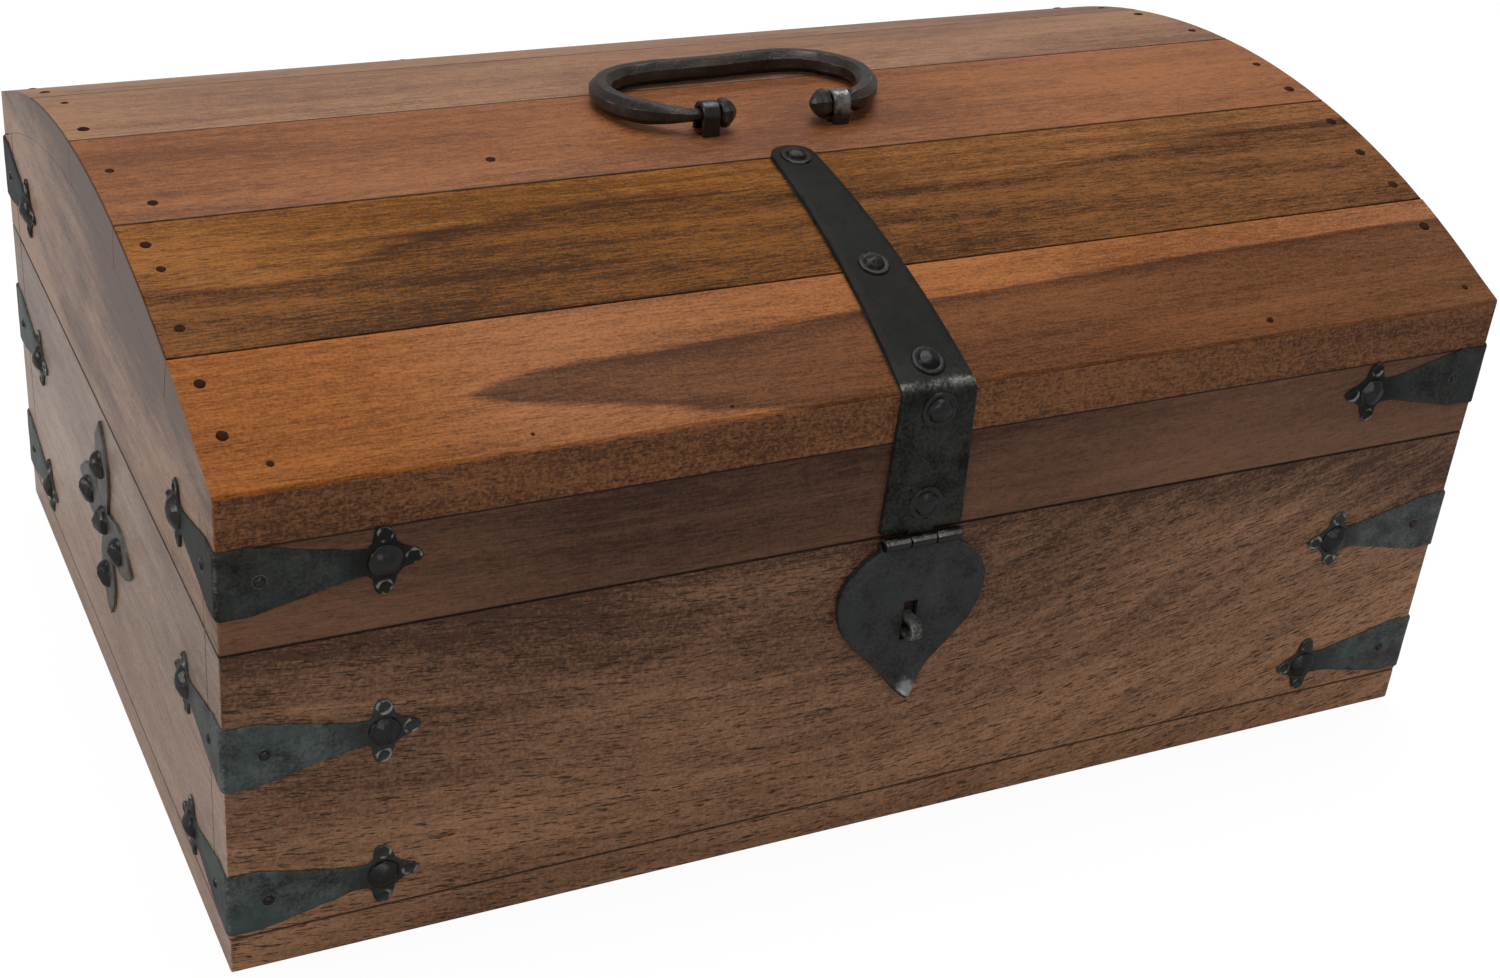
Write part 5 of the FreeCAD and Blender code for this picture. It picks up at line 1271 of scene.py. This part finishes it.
def makeHandle(iron):
    line, along = evenly(curveThrough(handle["line"], handle["pieces"]), handle["step"])
    neckRun = handle["neckOut"] - handle["neckIn"]
    fromRight = (along - neckRun) / handle["rightTaper"]
    fromLeft = (along[-1] - along - neckRun) / handle["leftTaper"]
    share = np.clip(np.minimum(fromRight, fromLeft), 0, 1)
    girth = handle["neck"] + (handle["bar"] - handle["neck"]) * share * share * (3 - 2 * share)
    ways = np.gradient(line, axis=0)
    ways /= np.linalg.norm(ways, axis=1)[:, None]
    sag = math.radians(handle["sag"])
    cx, cy, cz = handle["centre"]

    def laid(x, reach, up):
        return (cx + x, cy + reach * math.cos(sag) + up * math.sin(sag),
                cz - reach * math.sin(sag) + up * math.cos(sag))

    verts, wearAndHighlight = [], []
    sides, flats, arris = handle["ringSides"], handle["flats"], handle["arris"]
    flat = 2 * math.pi / flats
    alongPitch, roundPitch = handle["ripple"]
    mean = handle["round"] + handle["flatShare"] * math.cos(flat / 2) ** 0.5
    for index, (point, way, radius) in enumerate(zip(line, ways, girth)):
        across = np.array((way[1], -way[0]))
        for side in range(sides):
            turn = 2 * math.pi * side / sides
            facet = math.cos(flat / 2) / math.cos((turn + flat / 2) % flat - flat / 2)
            spot = Vector((index * alongPitch, math.cos(turn) * roundPitch, math.sin(turn) * roundPitch))
            ripple = handle["hammer"] * noise.noise(spot) * min(1, radius / handle["fullRipple"])
            reach = radius * (handle["round"] + handle["flatShare"] * facet) / mean + ripple
            flatPlace = point + across * reach * math.cos(turn)
            verts.append(laid(flatPlace[0], flatPlace[1], reach * math.sin(turn)))
            bare = arris["wearAndHighlight"] * max(0, facet - arris["from"]) / arris["over"]
            wearAndHighlight.append(bare * (arris["least"] + noise.noise(spot * arris["pitch"])))
    faces = ringFaces(0, len(line), sides)
    faces.append(tuple(range(sides)))
    faces.append(tuple((len(line) - 1) * sides + side for side in range(sides)))
    knobRings = len(handle["knob"]) - 1
    sidePitch, endPitch = handle["knobPitch"]
    for right in (-1, 1):
        base = len(verts)
        for inward, out in handle["knob"][:-1]:
            for side in range(flats):
                turn = flat * (side + 0.5)
                spot = Vector((inward, side * sidePitch, right * endPitch))
                swell = 1 + handle["knobUneven"] * noise.noise(spot)
                verts.append(laid(right * (handle["neckIn"] - inward), out * swell * math.cos(turn),
                                  out * swell * math.sin(turn)))
                wearAndHighlight.append(handle["knobWear"])
        verts.append(laid(right * (handle["neckIn"] - handle["knob"][-1][0]), 0, 0))
        wearAndHighlight.append(handle["tipWear"])
        faces += ringFaces(base, knobRings, flats)
        faces += fanFaces(base + (knobRings - 1) * flats, flats, len(verts) - 1)
        faces.append(tuple(base + side for side in range(flats)))
    mesh = bpy.data.meshes.new("handle_bail_forged")
    mesh.from_pydata([Vector(vert) * mm for vert in verts], [], faces)
    addValues(mesh, "wearAndHighlight", wearAndHighlight)
    turnOutward(mesh)
    smoothByAngle(mesh, handle["smoothTo"])
    settle(linkNew("handle_bail_forged", mesh, iron), "handle_bail")


# Eyes of the handle: a strip of iron bent over the neck, with both legs driven through the lid

eye = {
    "spots": {"left": -16.6, "right": 22.6}, "half": 2.5, "inner": 2.25, "outer": 3.7, "foot": 159.2,
    "ease": 0.35, "steps": 16, "rub": {"left": 0.2, "right": 0.9}, "footRub": 0.2, "smoothTo": 30,
}


def makeEyes(iron):
    _, centreY, centreZ = handle["centre"]
    half, ease, foot = eye["half"], eye["ease"], eye["foot"]
    for side, spot in eye["spots"].items():
        work = bmesh.new()
        wearAndHighlight = work.verts.layers.float.new("wearAndHighlight")
        loops = []
        for out, inset in ((-half, ease), (ease - half, 0.0), (half - ease, 0.0), (half, ease)):
            ring = []
            for radius, flip in ((eye["outer"] - inset, 1), (eye["inner"] + inset, -1)):
                arc = [(-radius * flip, foot)]
                for turn in np.linspace(math.pi, 0, eye["steps"])[::flip]:
                    arc.append((radius * math.cos(turn), centreZ + radius * math.sin(turn)))
                arc.append((radius * flip, foot))
                ring += arc
            loops.append([work.verts.new(Vector((spot + out, centreY + y, z)) * mm) for y, z in ring])
        for first, second in zip(loops, loops[1:]):
            for index in range(len(first)):
                after = (index + 1) % len(first)
                work.faces.new((first[index], first[after], second[after], second[index]))
        for loop in (loops[0], loops[-1]):
            for index in range(len(loop) // 2 - 1):
                work.faces.new((loop[index], loop[index + 1], loop[-2 - index], loop[-1 - index]))
        for vert in work.verts:
            vert[wearAndHighlight] = eye["rub"][side] if vert.co.z > centreZ * mm else eye["footRub"]
        bmesh.ops.recalc_face_normals(work, faces=work.faces)
        nodeName = f"{side}_handle_eye"
        mesh = bpy.data.meshes.new(f"{nodeName}_forged")
        work.to_mesh(mesh)
        work.free()
        smoothByAngle(mesh, eye["smoothTo"])
        settle(linkNew(f"{nodeName}_forged", mesh, iron), nodeName)


# The chest's pieces, one after another

woodOf = {
    "bottom_board": "boards", "base_front_board": "boards", "base_back_board": "boards",
    "base_left_end_board": "ends", "base_right_end_board": "ends", "lid_front_board": "lidFront",
    "lid_back_board": "lidFront", "lid_left_end": "lidEnds", "lid_right_end": "lidEnds",
    "lid_plank_1": "plankTan", "lid_plank_2": "plankOlive", "lid_plank_3": "plankRed",
    "lid_plank_4": "plankPink", "lid_plank_5": "plankBack",
}
woodEase = {"plank": 0.45, "board": 0.6}
facingFrom = {  # least parts of a face's normal
    "sideways": 0.75, "forward": 0.7, "edge": 0.95, "plankTop": 0.5, "endTop": 0.3}
ironEase = {
    "padlock_staple": 0.4, "left_hinge_base_leaf": 0.3, "right_hinge_base_leaf": 0.3,
    "left_hinge_lid_leaf": 0.3, "right_hinge_lid_leaf": 0.3, "base_hinge_nails": 0.2, "lid_hinge_nails": 0.2,
}
# the staple is bright all over: worn metal, and a painted highlight
ironRubAndHighlight = {"padlock_staple": 0.85}
pins = ("hasp_pin", "left_hinge_pin", "right_hinge_pin")


def dressWood(materials):
    # plank ends and lid ends read as one face, so no edge between them is eased
    def sideways(normal):
        return abs(normal.x) > facingFrom["sideways"]

    def forward(normal):
        return normal.y < -facingFrom["forward"]

    def edgeFace(normal):
        return normal.y < -facingFrom["edge"]

    def plankKeeps(first, second):
        return (sideways(first) or sideways(second)) and max(first.z, second.z) < facingFrom["plankTop"]

    def endKeeps(first, second):
        return max(first.z, second.z) > facingFrom["endTop"]

    for nodeName, kind in woodOf.items():
        onLid = nodeName.startswith("lid")
        ends = materials["lidEnds" if onLid else "ends"]
        if "plank" in nodeName:
            others = [(sideways, ends)]
            if nodeName == "lid_plank_1":
                others.append((edgeFace, materials["plankEdge"]))
            easedCopy(nodeName, woodEase["plank"], materials[kind], others, plankKeeps)
        elif kind in ("ends", "lidEnds"):
            others = [(forward, materials["lidFront" if onLid else "boards"])]
            easedCopy(nodeName, woodEase["board"], materials[kind], others, endKeeps if onLid else None)
        else:
            easedCopy(nodeName, woodEase["board"], materials[kind], [(sideways, ends)])


makeCamera()
makeStudio()
print("studio and camera set")
woodMaterials = {name: makeWood(f"lacqueredHardwood_{name}", wood) for name, wood in woods.items()}
ironMaterials = {name: makeIron(f"blackenedIron_{name}", iron) for name, iron in irons.items()}
dressWood(woodMaterials)
print("boards and planks eased")
makeStraps({row: ironMaterials["lidCorner" if row == "lid" else "strap"] for row in strap["rows"]})
makeLeafPlates(ironMaterials["plate"])
print("straps and leaf plates forged")
makeHasp(ironMaterials["lidStrap"], ironMaterials["hasp"], ironMaterials["nail"])
for nodeName, ease in ironEase.items():
    easedCopy(nodeName, ease, ironMaterials["hasp"], rub=ironRubAndHighlight.get(nodeName, 0.0))
for nodeName in pins:
    nodes[nodeName].data.materials.clear()
    nodes[nodeName].data.materials.append(ironMaterials["hasp"])
print("hasp, staple and hinges made")
makeNails(ironMaterials["nail"], ironMaterials["rivet"], ironMaterials["brad"])
makeHandle(ironMaterials["handle"])
makeEyes(ironMaterials["nail"])
print("nails set and handle forged")
